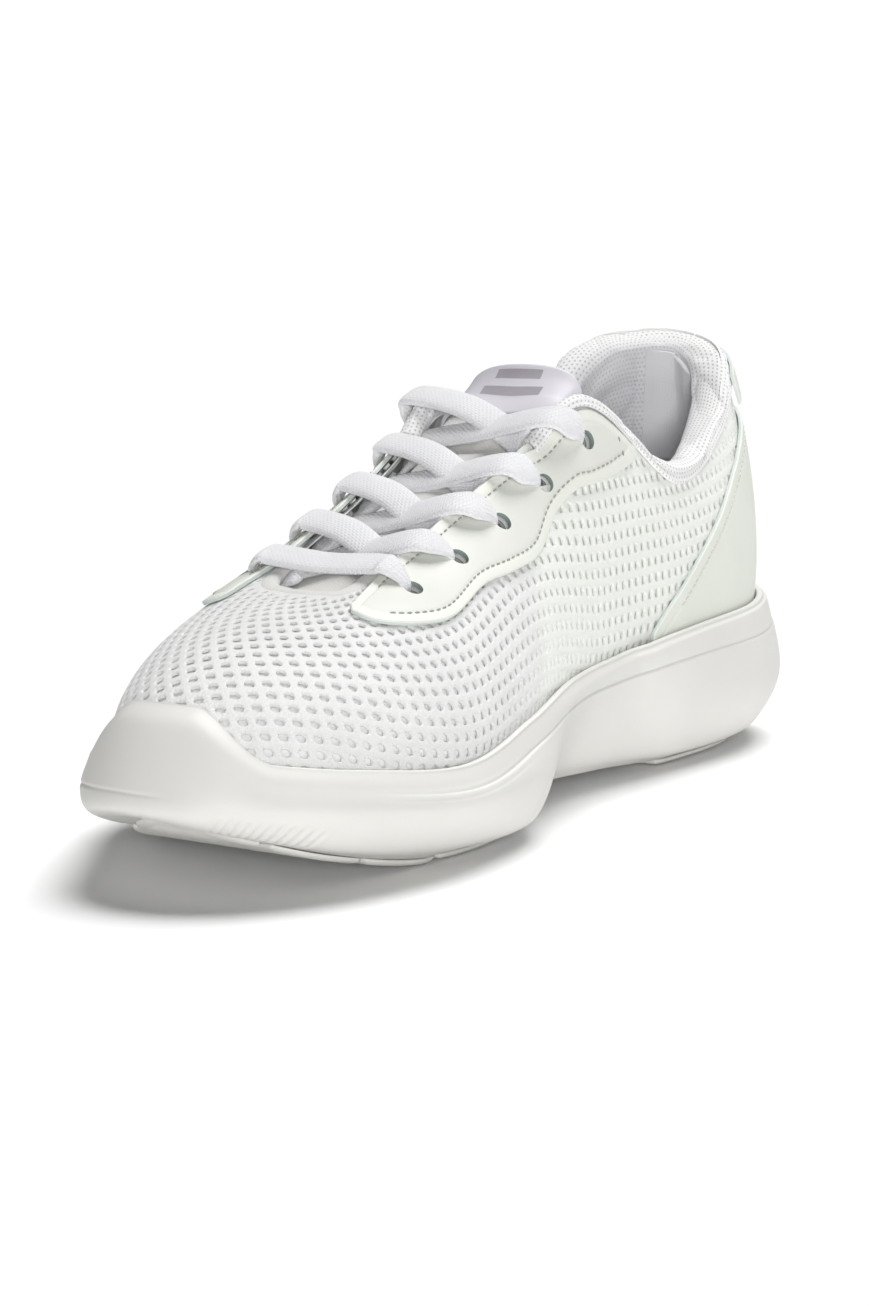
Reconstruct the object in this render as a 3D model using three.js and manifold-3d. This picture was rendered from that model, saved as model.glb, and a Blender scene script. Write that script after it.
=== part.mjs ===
// Running shoe, right foot: moulded foam sole, one-piece mesh upper, laced throat, padded collar.
// Millimetres. +X towards the toe, +Y towards the arch (medial) side, +Z up, ground at z = 0.
import * as THREE from "three";
import { mergeVertices } from "three/addons/utils/BufferGeometryUtils.js";
import Module from "manifold-3d";

const wasm = await Module();
wasm.setup();

// ---- Driving dimensions ------------------------------------------------------------------
const LAST_LENGTH = 279; // feather line, heel to toe
const LAST_WIDTH = 94; // feather line, across the ball
const HEEL_HEIGHT = 111; // ground to the top of the collar at the heel

const GAP = 0.3; // clearance between pieces that touch
const MESH_THICK = 1.5;
const OVERLAY_THICK = 1.2; // eyestays and heel foxing
const BACKER_THICK = 0.7;
const LINING_THICK = 1.0;
const PUFF_THICK = 0.9;
const COUNTER_THICK = 1.5;
const COLLAR_PAD = 6; // thickest place of the collar foam
const COLLAR_ROLL = 2; // how far the collar roll stands above the mesh edge
const TAB_THICK = 1.1;

const STROBEL_THICK = 1.5;
const INSOLE_THICK = 4.5;
const COVER_THICK = 0.8;
const INSOLE_INSET = 5.2; // insole edge inside the feather line
const RIM_THICK = 3.2; // sole wall at its upper edge
const RIM_INSET = 0.5; // room between upper and sole wall
const PAD_THICK = 1.5; // rubber tread pads

const EYELET_DIAMETER = 5.2;
const LACE_WIDTH = 7;
const LACE_THICK = 1.5;
const AGLET_DIAMETER = 3.4;
const AGLET_LENGTH = 18;

const TONGUE_EASE = 1.5; // room between the tongue and the lace under the eyestays
const TONGUE_FABRIC = 1.0;
const TONGUE_PAD = 3.4;
const LABEL_THICK = 0.8;

// ---- The last: stations round the shoe, toe - medial - heel - lateral --------------------
// foot: point on the feather line; top: point on the top line; belly: how far the section
// swells outwards and upwards from the foot; pull: handle that the section leaves the top on;
// wall: sole wall as [out, height] pairs for bottom edge, low wall and widest place;
// rim: share of the way up the section at which the sole ends.
const DRAWN = { length: 279, width: 94, height: 111 };
const STATIONS = [
  { foot: [280.5, 3, 23], top: [212, 1, 64], belly: [4.5, 25], pull: [34, 0, -3],
    wall: [-6, 19.5, 5, 20.5, 8, 25.5], rim: 0.155 },
  { foot: [275, 23, 22], top: [211.5, 6.5, 64], belly: [5, 24], pull: [32, 6, -4],
    wall: [-6, 15.5, 3.5, 17, 7.5, 24], rim: 0.165 },
  { foot: [252, 39.5, 19], top: [208, 12.5, 65], belly: [7, 23], pull: [22, 14, -6],
    wall: [-7.5, 8.2, 2, 11, 7.5, 20.5], rim: 0.16 },
  { foot: [216, 47, 16.5], top: [190, 14.5, 70.5], belly: [7, 24], pull: [5, 19, -8],
    wall: [-8.5, 1.8, 1.5, 6.5, 8, 17], rim: 0.13 },
  { foot: [178, 42.5, 17.5], top: [164, 15, 80], belly: [6, 24], pull: [2, 19, -12],
    wall: [-4, 1.8, 4.5, 5.5, 8.5, 18], rim: 0.175 },
  { foot: [141, 34, 21], top: [137, 17, 91.5], belly: [4, 25], pull: [0, 16, -17],
    wall: [-9, 5, -4, 10, 1.5, 18.5], rim: 0.175 },
  { foot: [108, 30.5, 25.5], top: [111, 21, 104], belly: [3, 25], pull: [0, 11, -21],
    wall: [-6, 4, -1, 9, 3, 21], rim: 0.135 },
  { foot: [72, 30.5, 29], top: [73, 28, 82], belly: [3.5, 21], pull: [0, 4, -18],
    wall: [-4, 1.8, 2, 5.5, 6.5, 19.5], rim: 0.16 },
  { foot: [36, 29, 31.5], top: [40, 22.5, 91], belly: [4, 21], pull: [-1, 6, -18],
    wall: [-4, 1.8, 3.5, 5.5, 9, 19], rim: 0.13 },
  { foot: [11, 16.5, 32.5], top: [17.5, 13, 106], belly: [4, 23], pull: [-5, 6, -24],
    wall: [-4, 1.8, 3.5, 5.5, 10, 18], rim: 0.113 },
  { foot: [4.5, 0, 33], top: [9, 0, 111], belly: [4, 23], pull: [-8, 0, -26],
    wall: [-4.5, 2.6, 3, 7.5, 7.5, 19.5], rim: 0.11 },
  { foot: [11, -16.5, 32.5], top: [16, -14.5, 110], belly: [4, 23], pull: [-5, -6, -24],
    wall: [-4, 1.8, 3.5, 5.5, 10, 18], rim: 0.113 },
  { foot: [36, -29.5, 31.5], top: [34, -24.5, 104.5], belly: [4, 21], pull: [-1, -6, -22],
    wall: [-4, 1.8, 3.5, 5.5, 9, 19], rim: 0.13 },
  { foot: [72, -32.5, 29], top: [67, -27, 86.5], belly: [4, 21], pull: [0, -5, -18],
    wall: [-4, 1.8, 2, 5.5, 6.5, 19.5], rim: 0.16 },
  { foot: [108, -36, 25.5], top: [111, -21, 103], belly: [4, 25], pull: [0, -11, -21],
    wall: [-4, 1.8, 2, 5, 5, 21], rim: 0.135 },
  { foot: [141, -41, 21], top: [137, -17, 91], belly: [5, 25], pull: [0, -16, -17],
    wall: [-4, 1.8, 2, 5, 5, 21], rim: 0.175 },
  { foot: [176, -46, 17.5], top: [164, -15, 80], belly: [6, 24], pull: [2, -19, -12],
    wall: [-5, 1.8, 4, 4, 8, 19], rim: 0.175 },
  { foot: [212, -45, 16.5], top: [190, -14.5, 70.5], belly: [7, 24], pull: [5, -19, -8],
    wall: [-5, 1.8, 4, 4, 8.5, 17], rim: 0.13 },
  { foot: [245.5, -31, 19], top: [208, -12, 65], belly: [6, 23], pull: [22, -14, -6],
    wall: [-6, 7.5, 3, 10, 6, 20], rim: 0.16 },
  { foot: [271.5, -13.5, 22], top: [211.5, -5, 64], belly: [5, 24], pull: [32, -6, -4],
    wall: [-5, 15.5, 5.5, 17.5, 8, 23.5], rim: 0.165 },
];
const ROUND = STATIONS.length; // station numbers run 0 (toe) .. 10 (heel) .. 20 (toe again)
const HEEL = ROUND / 2;
const BUMPER_RISE = 0.18; // extra rim height of the toe bumper, as a share of the section
const LOOP_STEPS = 60; // lattice columns round the shoe

const sx = LAST_LENGTH / DRAWN.length;
const sy = LAST_WIDTH / DRAWN.width;
const sz = HEEL_HEIGHT / DRAWN.height;
const UP = new THREE.Vector3(0, 0, 1);

const scaled = ([x, y, z]) => new THREE.Vector3(x * sx, y * sy, z * sz);
const loopCurve = (points) => new THREE.CatmullRomCurve3(points, true, "catmullrom", 0.5);
const footLine = loopCurve(STATIONS.map((k) => scaled(k.foot)));
const topLine = loopCurve(STATIONS.map((k) => scaled(k.top)));
const pullLine = loopCurve(STATIONS.map((k) => scaled(k.pull)));
const bellyLine = loopCurve(STATIONS.map((k) => new THREE.Vector3(k.belly[0], k.belly[1] * sz, k.rim)));
const wallLines = [0, 1, 2].map((ring) =>
  loopCurve(STATIONS.map((k) => new THREE.Vector3(k.wall[2 * ring], k.wall[2 * ring + 1] * sz, 0))));

// ---- Small helpers -----------------------------------------------------------------------
const share = (s) => (((s % ROUND) + ROUND) % ROUND) / ROUND;
const fromToe = (s) => HEEL - Math.abs(HEEL - share(s) * ROUND); // 0 toe .. 10 heel on either side
const across = (s) => ROUND - s; // the same station on the other side
const mix = (a, b, k) => a + (b - a) * k;
const ease = (a, b, x) => THREE.MathUtils.smoothstep(x, a, b);

// Smooth value through hand-set [x, value] pairs, flat beyond both ends.
function through(pairs) {
  const slope = (i) => {
    const [a, b] = [pairs[Math.max(i - 1, 0)], pairs[Math.min(i + 1, pairs.length - 1)]];
    return (b[1] - a[1]) / (b[0] - a[0]);
  };
  return (x) => {
    if (x <= pairs[0][0]) return pairs[0][1];
    if (x >= pairs.at(-1)[0]) return pairs.at(-1)[1];
    const i = pairs.findIndex((p) => p[0] > x) - 1;
    const [[x0, y0], [x1, y1]] = [pairs[i], pairs[i + 1]];
    const w = x1 - x0;
    const k = (x - x0) / w;
    const bend = k * (1 - k) * ((1 - k) * slope(i) * w - k * slope(i + 1) * w);
    return mix(y0, y1, k * k * (3 - 2 * k)) + bend;
  };
}

// ---- The upper's surface -----------------------------------------------------------------
function outward(s) {
  const along = footLine.getPoint(share(s + 0.02)).sub(footLine.getPoint(share(s - 0.02)));
  return along.cross(UP).setZ(0).normalize();
}

// Point on the side of the last: station s, share v of the way from feather line to top line.
function side(s, v) {
  const foot = footLine.getPoint(share(s));
  const top = topLine.getPoint(share(s));
  const belly = bellyLine.getPoint(share(s));
  const low = foot.clone().addScaledVector(outward(s), belly.x).addScaledVector(UP, belly.y);
  const high = top.clone().add(pullLine.getPoint(share(s)));
  return new THREE.CubicBezierCurve3(foot, low, high, top).getPoint(v);
}

function sideNormal(s, v) {
  const alongS = side(s + 0.03, v).sub(side(s - 0.03, v));
  const alongV = side(s, v + 0.01).sub(side(s, v - 0.01));
  return alongS.cross(alongV).normalize();
}

// The same point moved out (+) or in (-) by depth.
const skin = (s, v, depth) => side(s, v).addScaledVector(sideNormal(s, v), depth);

// ---- Closed bodies from lattices ---------------------------------------------------------
function body(points, faces) {
  const geometry = new THREE.BufferGeometry();
  geometry.setAttribute("position", new THREE.Float32BufferAttribute(points.flatMap((p) => [p.x, p.y, p.z]), 3));
  geometry.setIndex(faces.flat());
  let volume = 0;
  for (const [a, b, c] of faces) {
    volume += points[a].dot(new THREE.Vector3().crossVectors(points[b], points[c]));
  }
  if (volume < 0) geometry.setIndex(faces.flatMap(([a, b, c]) => [a, c, b]));
  return geometry;
}

// Sheet between two lattices of the same size, outer[i][j] and inner[i][j]; loop joins the
// last column to the first.
function shell(outer, inner, loop = false) {
  const columns = outer.length;
  const rows = outer[0].length;
  const at = (face, i, j) => (face * columns + (i % columns)) * rows + j;
  const faces = [];
  const quad = (a, b, c, d) => faces.push([a, b, c], [a, c, d]);
  const spans = loop ? columns : columns - 1;
  for (let i = 0; i < spans; i++) {
    for (let j = 0; j < rows - 1; j++) {
      quad(at(0, i, j), at(0, i + 1, j), at(0, i + 1, j + 1), at(0, i, j + 1));
      quad(at(1, i, j), at(1, i, j + 1), at(1, i + 1, j + 1), at(1, i + 1, j));
    }
    quad(at(0, i, 0), at(1, i, 0), at(1, i + 1, 0), at(0, i + 1, 0));
    const top = rows - 1;
    quad(at(0, i, top), at(0, i + 1, top), at(1, i + 1, top), at(1, i, top));
  }
  if (!loop) {
    const end = columns - 1;
    for (let j = 0; j < rows - 1; j++) {
      quad(at(0, 0, j), at(0, 0, j + 1), at(1, 0, j + 1), at(1, 0, j));
      quad(at(0, end, j), at(1, end, j), at(1, end, j + 1), at(0, end, j + 1));
    }
  }
  return body([...outer.flat(), ...inner.flat()], faces);
}

// Patch of the upper: stations from..to, heights low(s)..high(s), between two depths that may
// be numbers or functions of (s, v).
function patch({ from, to, steps, rows, low, high, outer, inner, loop = false }) {
  const depth = (d, s, v) => (typeof d === "function" ? d(s, v) : d);
  const [start, end] = [Math.min(from, to), Math.max(from, to)]; // all patches run the same way round
  const lattice = (d) =>
    Array.from({ length: loop ? steps : steps + 1 }, (_, i) => {
      const s = mix(start, end, i / steps);
      return Array.from({ length: rows + 1 }, (_, j) => {
        const v = mix(low(s), high(s), j / rows);
        return skin(s, v, depth(d, s, v));
      });
    });
  return shell(lattice(outer), lattice(inner), loop);
}

// Solid of stacked rings; the first and last are closed by zipping medial to lateral.
function stack(rings) {
  const count = rings[0].length;
  const faces = [];
  const cap = (base, flip) => {
    for (let i = 0; i < count / 2; i++) {
      const [a, b, c, d] = [i, i + 1, count - i - 1, (count - i) % count].map((k) => base + k);
      const tris = [[a, b, c], [a, c, d]].filter((t) => new Set(t).size === 3);
      faces.push(...tris.map((t) => (flip ? [t[0], t[2], t[1]] : t)));
    }
  };
  for (let r = 0; r < rings.length - 1; r++) {
    for (let i = 0; i < count; i++) {
      const [a, b] = [r * count + i, r * count + ((i + 1) % count)];
      faces.push([a, b, b + count], [a, b + count, a + count]);
    }
  }
  cap(0, true);
  cap((rings.length - 1) * count, false);
  return body(rings.flat(), faces);
}

const ring = (pointAt) =>
  Array.from({ length: LOOP_STEPS }, (_, i) => pointAt((i * ROUND) / LOOP_STEPS));

// Point beside the feather line, moved out and set up from it.
const besideFoot = (s, out, up) =>
  footLine.getPoint(share(s)).addScaledVector(outward(s), out).addScaledVector(UP, up);

// ---- Cutting -----------------------------------------------------------------------------
function toSolid(geometry) {
  const plain = geometry.clone();
  plain.deleteAttribute("normal");
  plain.deleteAttribute("uv");
  const merged = mergeVertices(plain);
  return new wasm.Manifold(new wasm.Mesh({
    numProp: 3,
    vertProperties: new Float32Array(merged.attributes.position.array),
    triVerts: new Uint32Array(merged.index.array),
  }));
}

function toGeometry(solid) {
  const mesh = solid.getMesh();
  const geometry = new THREE.BufferGeometry();
  geometry.setAttribute("position", new THREE.Float32BufferAttribute(mesh.vertProperties, 3));
  geometry.setIndex(Array.from(mesh.triVerts));
  return geometry;
}

function alongAxis(geometry, from, axis) {
  const turn = new THREE.Quaternion().setFromUnitVectors(new THREE.Vector3(0, 1, 0), axis);
  return geometry.applyQuaternion(turn).translate(from.x, from.y, from.z);
}

// ---- The shoe ----------------------------------------------------------------------------
const shoe = new THREE.Group();

function add(name, geometry, colour, roughness) {
  const material = new THREE.MeshStandardMaterial({ color: colour, roughness, metalness: 0 });
  const mesh = new THREE.Mesh(geometry, material);
  mesh.name = name;
  shoe.add(mesh);
}

// Eyelets: five each side, by station and height; the lateral ones mirror the medial.
const EYELETS = [
  { s: 5.85, v: 0.84 },
  { s: 5.1, v: 0.84 },
  { s: 4.35, v: 0.835 },
  { s: 3.6, v: 0.83 },
  { s: 2.85, v: 0.825 },
];
const BOTH = [
  { name: "medial", place: (s) => s },
  { name: "lateral", place: across },
];
const HOLE_REACH = 5; // how far a punch reaches either side of the upper

function punched(geometry, places) {
  let solid = toSolid(geometry);
  for (const { place } of places) {
    for (const { s, v } of EYELETS) {
      const drill = new THREE.CylinderGeometry(EYELET_DIAMETER / 2, EYELET_DIAMETER / 2, 2 * HOLE_REACH, 10);
      const at = place(s);
      solid = solid.subtract(toSolid(alongAxis(drill, side(at, v), sideNormal(at, v))));
    }
  }
  return toGeometry(solid);
}

// Depths of the layers inside the mesh.
const UNDER_MESH = -(MESH_THICK + GAP);
const BACKER_EASE = 0.1; // more room where mesh and backer curve most
const UNDER_BACKER = UNDER_MESH - BACKER_EASE - BACKER_THICK - GAP;
const UNDER_COUNTER = UNDER_MESH - COUNTER_THICK - GAP;
const UNDER_STAY = UNDER_BACKER - LACE_THICK / 2 - 0.75; // middle of the lace under the eyestays
const TONGUE_DEPTH = LACE_THICK / 2 - UNDER_STAY + TONGUE_EASE;
const MESH_EDGE = 0.965; // the mesh stops here under the collar roll
const COLLAR_FROM = 17 / 3; // station where the collar's lining starts
const PUFF_TO = 2;
const PUFF_TOP = 0.3;

function addUpper() {
  const meshTop = (s) => mix(1, MESH_EDGE, ease(4.9, 5.3, fromToe(s)));
  const mesh = patch({
    from: 0, to: ROUND, steps: LOOP_STEPS, rows: 8, loop: true,
    low: () => 0, high: meshTop, outer: 0, inner: -MESH_THICK,
  });
  add("upper_mesh", punched(mesh, BOTH), "#eceded", 0.85);

  const overPuff = (s, v) => (PUFF_THICK + 2 * GAP) * (1 - ease(PUFF_TO, PUFF_TO + 0.7, fromToe(s)))
    * (1 - ease(PUFF_TOP, PUFF_TOP + 0.1, v));
  add("vamp_lining", patch({
    from: -6, to: 6, steps: 36, rows: 6, low: () => 0.035, high: () => 0.7,
    outer: (s, v) => UNDER_MESH - overPuff(s, v),
    inner: (s, v) => UNDER_MESH - LINING_THICK - overPuff(s, v),
  }), "#d9dad8", 0.9);

  add("toe_puff", patch({
    from: -PUFF_TO, to: PUFF_TO, steps: 12, rows: 3, low: () => 0.04, high: () => PUFF_TOP - 0.01,
    outer: UNDER_MESH - GAP, inner: UNDER_MESH - GAP - PUFF_THICK,
  }), "#c9c7bf", 0.8);
}

// Eyestay outline: scalloped lower edge and plain upper edge, by station.
const stayLow = through([
  [2.0, 0.84], [2.3, 0.75], [2.7, 0.68], [3.1, 0.65], [3.7, 0.69], [4.2, 0.665], [4.65, 0.655],
  [5.1, 0.73], [5.5, 0.725], [5.8, 0.7], [6.1, 0.72], [6.35, 0.8], [6.5, 0.89],
]);
const stayHigh = through([[2.0, 0.87], [2.3, 0.93], [2.8, 0.985], [4.9, 0.985], [5.35, 0.945], [6.1, 0.945], [6.5, 0.925]]);

function addEyestays() {
  for (const { name, place } of BOTH) {
    const stay = patch({
      from: place(2), to: place(6.5), steps: 27, rows: 4,
      low: (s) => stayLow(fromToe(s)), high: (s) => stayHigh(fromToe(s)),
      outer: GAP + OVERLAY_THICK, inner: GAP,
    });
    add(`eyestay_${name}`, punched(stay, [{ place }]), "#e3e5dc", 0.6);
    const backer = patch({
      from: place(7 / 3), to: place(6), steps: 11, rows: 2,
      low: () => 0.75, high: (s) => Math.min(0.93, stayHigh(fromToe(s)) - 0.02),
      outer: UNDER_MESH - BACKER_EASE, inner: UNDER_MESH - BACKER_EASE - BACKER_THICK,
    });
    add(`eyestay_backer_${name}`, punched(backer, [{ place }]), "#bfc4bd", 0.8);
  }
}

// Collar: depth of the lining's hidden side below the outer skin.
const padded = (s) => ease(6.2, 6.9, fromToe(s));
function collarDepth(s, v) {
  const swell = COLLAR_PAD * ease(0.42, 0.72, v) - 0.25 * COLLAR_PAD * ease(0.85, 1, v);
  return mix(-UNDER_BACKER, -UNDER_COUNTER + GAP + swell, padded(s));
}
const bandLow = (s) => 0.957 - 0.045 * ease(6.35, 7, fromToe(s)); // edge of the turned-over lining
const liningLow = (s) => mix(0.93, 0.1, ease(6.2, 6.6, fromToe(s)));
const ROLL_STEPS = 4;
const LEG_STEPS = 9;

// Heights of the lattice lines on the inside leg of the full collar, from the roll down.
const legLine = (k) => mix(MESH_EDGE, liningLow(HEEL), k / LEG_STEPS);

// One column of the collar lining: up the outside, over the roll, down the inside.
function liningColumn(s, lift) {
  const column = [skin(s, bandLow(s), GAP + lift), skin(s, MESH_EDGE, GAP + lift)];
  const edge = side(s, MESH_EDGE);
  const out = sideNormal(s, MESH_EDGE);
  const rise = side(s, 1).sub(side(s, 0.96)).normalize();
  const depth = collarDepth(s, MESH_EDGE);
  const middle = (GAP - depth) / 2;
  const reach = (GAP + depth) / 2 + lift;
  for (let k = 1; k < ROLL_STEPS; k++) {
    const turn = (Math.PI * k) / ROLL_STEPS;
    column.push(edge.clone().addScaledVector(out, middle + reach * Math.cos(turn))
      .addScaledVector(rise, (COLLAR_ROLL + lift) * Math.sin(turn)));
  }
  for (let k = 0; k <= LEG_STEPS; k++) {
    const v = mix(MESH_EDGE, liningLow(s), k / LEG_STEPS);
    column.push(skin(s, v, -collarDepth(s, v) - lift));
  }
  return column;
}

function addCollar() {
  const steps = 26;
  const columns = Array.from({ length: steps + 1 }, (_, i) => mix(COLLAR_FROM, across(COLLAR_FROM), i / steps));
  add("collar_lining", shell(
    columns.map((s) => liningColumn(s, LINING_THICK)),
    columns.map((s) => liningColumn(s, 0)),
  ), "#dfdfe1", 0.95);

  add("heel_counter", patch({
    from: 22 / 3, to: across(22 / 3), steps: 16, rows: 4, low: () => 0.04, high: () => 0.6,
    outer: UNDER_MESH, inner: UNDER_MESH - COUNTER_THICK,
  }), "#b9b4a6", 0.7);

  add("collar_foam", patch({
    from: 7, to: across(7), steps: 18, rows: 4, low: () => legLine(4), high: () => legLine(0),
    outer: (s, v) => mix(UNDER_COUNTER, UNDER_MESH, ease(0.62, 0.7, v)),
    inner: (s, v) => -collarDepth(s, v) + GAP,
  }), "#f0e9c8", 0.95);

  add("heel_lining", patch({
    from: 9, to: across(9), steps: 6, rows: 5, low: () => legLine(5), high: () => legLine(0),
    outer: (s, v) => -collarDepth(s, v) - LINING_THICK - GAP,
    inner: (s, v) => -collarDepth(s, v) - LINING_THICK - GAP - BACKER_THICK,
  }), "#d4d3d6", 0.9);
}

const FOXING_FROM = 6.5;
const foxingHigh = through([[6.5, 0.17], [6.8, 0.31], [7.25, 0.52], [7.65, 0.64], [8.05, 0.72], [8.7, 0.77], [10, 0.78]]);

function addHeelOverlays() {
  add("heel_foxing", patch({
    from: FOXING_FROM, to: across(FOXING_FROM), steps: 28, rows: 5,
    low: () => 0.045, high: (s) => foxingHigh(fromToe(s)), outer: GAP + OVERLAY_THICK, inner: GAP,
  }), "#e6e8df", 0.6);

  const overBand = GAP + LINING_THICK + GAP;
  add("heel_tab", patch({
    from: 8.75, to: across(8.75), steps: 8, rows: 2, low: () => 0.85, high: () => MESH_EDGE,
    outer: overBand + TAB_THICK, inner: overBand,
  }), "#e6e8df", 0.6);
}

// ---- Sole --------------------------------------------------------------------------------
const SOLE_BASE = PAD_THICK + GAP; // underside of the foam where it stands on its pads
const recess = (s) => RIM_INSET + (GAP + OVERLAY_THICK) * ease(6.1, 6.4, fromToe(s));
const rimHeight = (s) => bellyLine.getPoint(share(s)).z + BUMPER_RISE * (1 - ease(0.45, 1.35, fromToe(s)));
const RECESS_DROP = 0.4; // recess floor below the feather line

function wallPoint(s, k) {
  const place = wallLines[k].getPoint(share(s));
  const foot = footLine.getPoint(share(s)).addScaledVector(outward(s), place.x);
  return foot.setZ(Math.max(SOLE_BASE, place.y));
}

function addSole() {
  const inside = (level) => ring((s) => skin(s, rimHeight(s) * level, recess(s)));
  add("midsole", stack([
    ring((s) => wallPoint(s, 0)),
    ring((s) => wallPoint(s, 1)),
    ring((s) => wallPoint(s, 2)),
    ring((s) => skin(s, rimHeight(s) * 0.7, recess(s) + RIM_THICK * 1.25)),
    ring((s) => skin(s, rimHeight(s), recess(s) + RIM_THICK * 0.6)),
    ...[1, 0.75, 0.5, 0.25, 0].map(inside),
    ring((s) => besideFoot(s, -2, -RECESS_DROP)),
  ]), "#e7e5e2", 0.55);

  const plate = (low, high, insetLow, insetHigh) =>
    stack([ring((s) => besideFoot(s, -insetLow, low)), ring((s) => besideFoot(s, -insetHigh, high))]);
  const boardInset = MESH_THICK + GAP;
  add("strobel_board", plate(0, STROBEL_THICK, boardInset, boardInset), "#d8d2c2", 0.95);
  const foamLow = STROBEL_THICK + GAP;
  const foamHigh = foamLow + INSOLE_THICK;
  add("insole_foam", plate(foamLow, foamHigh, INSOLE_INSET + 0.8, INSOLE_INSET), "#d9d9d6", 0.9);
  const coverLow = foamHigh + GAP;
  add("insole_cover", plate(coverLow, coverLow + COVER_THICK, INSOLE_INSET, INSOLE_INSET + 0.3), "#cfcfd2", 0.95);
}

// Rubber pads under the foam: stations from..to and shares of the width.
const PADS = [
  { name: "toe", from: 0.45, to: 1.3, left: 0.08, right: 0.92 },
  { name: "forefoot_front", from: 1.45, to: 2.3, left: 0.03, right: 0.97 },
  { name: "forefoot_middle", from: 2.4, to: 3.1, left: 0.03, right: 0.97 },
  { name: "forefoot_rear", from: 3.2, to: 3.95, left: 0.03, right: 0.97 },
  { name: "heel_medial", from: 6.85, to: 8.4, left: 0.05, right: 0.47 },
  { name: "heel_lateral", from: 6.85, to: 8.4, left: 0.53, right: 0.95 },
  { name: "heel_rear", from: 8.52, to: 9.7, left: 0.06, right: 0.94 },
];

function addOutsole() {
  for (const { name, from, to, left, right } of PADS) {
    const steps = 6;
    const lattice = (drop) =>
      Array.from({ length: steps + 1 }, (_, i) => {
        const s = mix(from, to, i / steps);
        return Array.from({ length: 3 }, (_, j) => {
          const point = wallPoint(s, 0).lerp(wallPoint(across(s), 0), mix(left, right, j / 2));
          return point.addScaledVector(UP, -drop);
        });
      });
    add(`outsole_${name}`, shell(lattice(GAP), lattice(GAP + PAD_THICK)), "#dddbd7", 0.65);
  }
}

// ---- Tongue ------------------------------------------------------------------------------
// Seven rails along the tongue, from its sewn end under the throat to its free top.
const TONGUE_STATIONS = [2.45, 3.1, 3.8, 4.5, 5.2, 5.9];
const TONGUE_ROOT = [16, 0, -5.5]; // the sewn end, from the first station's section
const TONGUE_TIP = [[-4.5, 0, 3.5, 0.97], [-9, 0, 8, 0.9], [-12, 0, 12, 0.78]]; // beyond the last

function tongueSection(s) {
  const edge = [0.76, 0.88, 1].map((v) => skin(s, v, -TONGUE_DEPTH));
  const far = [1, 0.88, 0.76].map((v) => skin(across(s), v, -TONGUE_DEPTH));
  const drop = 3.4 + 1.8 * (1 - ease(2.4, 3.2, s));
  const middle = side(s, 1).lerp(side(across(s), 1), 0.5).addScaledVector(UP, -drop);
  return [...edge, middle, ...far];
}

function tongueSections() {
  const sections = TONGUE_STATIONS.map(tongueSection);
  const moved = (section, [x, y, z, narrow = 1]) =>
    section.map((p) => new THREE.Vector3(p.x + x, p.y * narrow + y, p.z + z));
  const root = moved(sections[0], [...TONGUE_ROOT, 0.9]);
  const tips = TONGUE_TIP.map((tip) => moved(sections.at(-1), tip));
  return [root, ...sections, ...tips];
}

const sections = tongueSections();
const rails = sections[0].map((_, r) =>
  new THREE.CatmullRomCurve3(sections.map((k) => k[r]), false, "catmullrom", 0.5));

// Point on the tongue: a runs from root 0 to tip 1, w across from medial 0 to lateral 1.
function tongueSkin(a, w, depth) {
  const place = (p, q) =>
    new THREE.CatmullRomCurve3(rails.map((rail) => rail.getPoint(THREE.MathUtils.clamp(p, 0, 1))), false,
      "catmullrom", 0.5).getPoint(THREE.MathUtils.clamp(q, 0, 1));
  const step = 0.01;
  const alongA = place(a + step, w).sub(place(a - step, w));
  const alongW = place(a, w + step).sub(place(a, w - step));
  const normal = alongA.cross(alongW).normalize();
  return place(a, w).addScaledVector(normal, depth);
}

function tongueLayer({ from = 0, to = 1, left = 0, right = 1, steps = 9, rows = 12, top, thick }) {
  const lattice = (depth) =>
    Array.from({ length: steps + 1 }, (_, i) =>
      Array.from({ length: rows + 1 }, (_, j) =>
        tongueSkin(mix(from, to, i / steps), mix(left, right, j / rows), depth)));
  return shell(lattice(top), lattice(top - thick));
}

function addTongue() {
  add("tongue_outer", tongueLayer({ top: 0, thick: TONGUE_FABRIC }), "#dfe0de", 0.9);
  const padTop = -TONGUE_FABRIC - GAP;
  add("tongue_foam", tongueLayer({ top: padTop, thick: TONGUE_PAD }), "#f0e9c8", 0.95);
  const liningTop = padTop - TONGUE_PAD - GAP;
  add("tongue_lining", tongueLayer({ top: liningTop, thick: TONGUE_FABRIC }), "#dcdcde", 0.95);
  add("tongue_label", tongueLayer({
    from: 6 / 9, left: 0.25, right: 0.75, steps: 3, rows: 6, top: GAP + LABEL_THICK, thick: LABEL_THICK,
  }), "#cfccd8", 0.6);
}

// ---- Lace --------------------------------------------------------------------------------
// One flat lace: up through eyelet 1, across and under the next eyelet down, and so on to the
// straight bar at the toe end, then back up the other eyelets.
const ON_STAY = GAP + OVERLAY_THICK + GAP + LACE_THICK / 2 + 0.65;
const IN_HOLE = { width: 3, thick: 1.9 };
const TURNING = { width: 5.2, thick: 1.6 };
const FLAT = { width: LACE_WIDTH, thick: LACE_THICK };
const LEAN = 0.15; // stations that a strand moves between its eyelet and the throat edge
const LACE_SIDES = 8;

const knot = (point, form, sideways) => ({ point, ...form, sideways });

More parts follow.
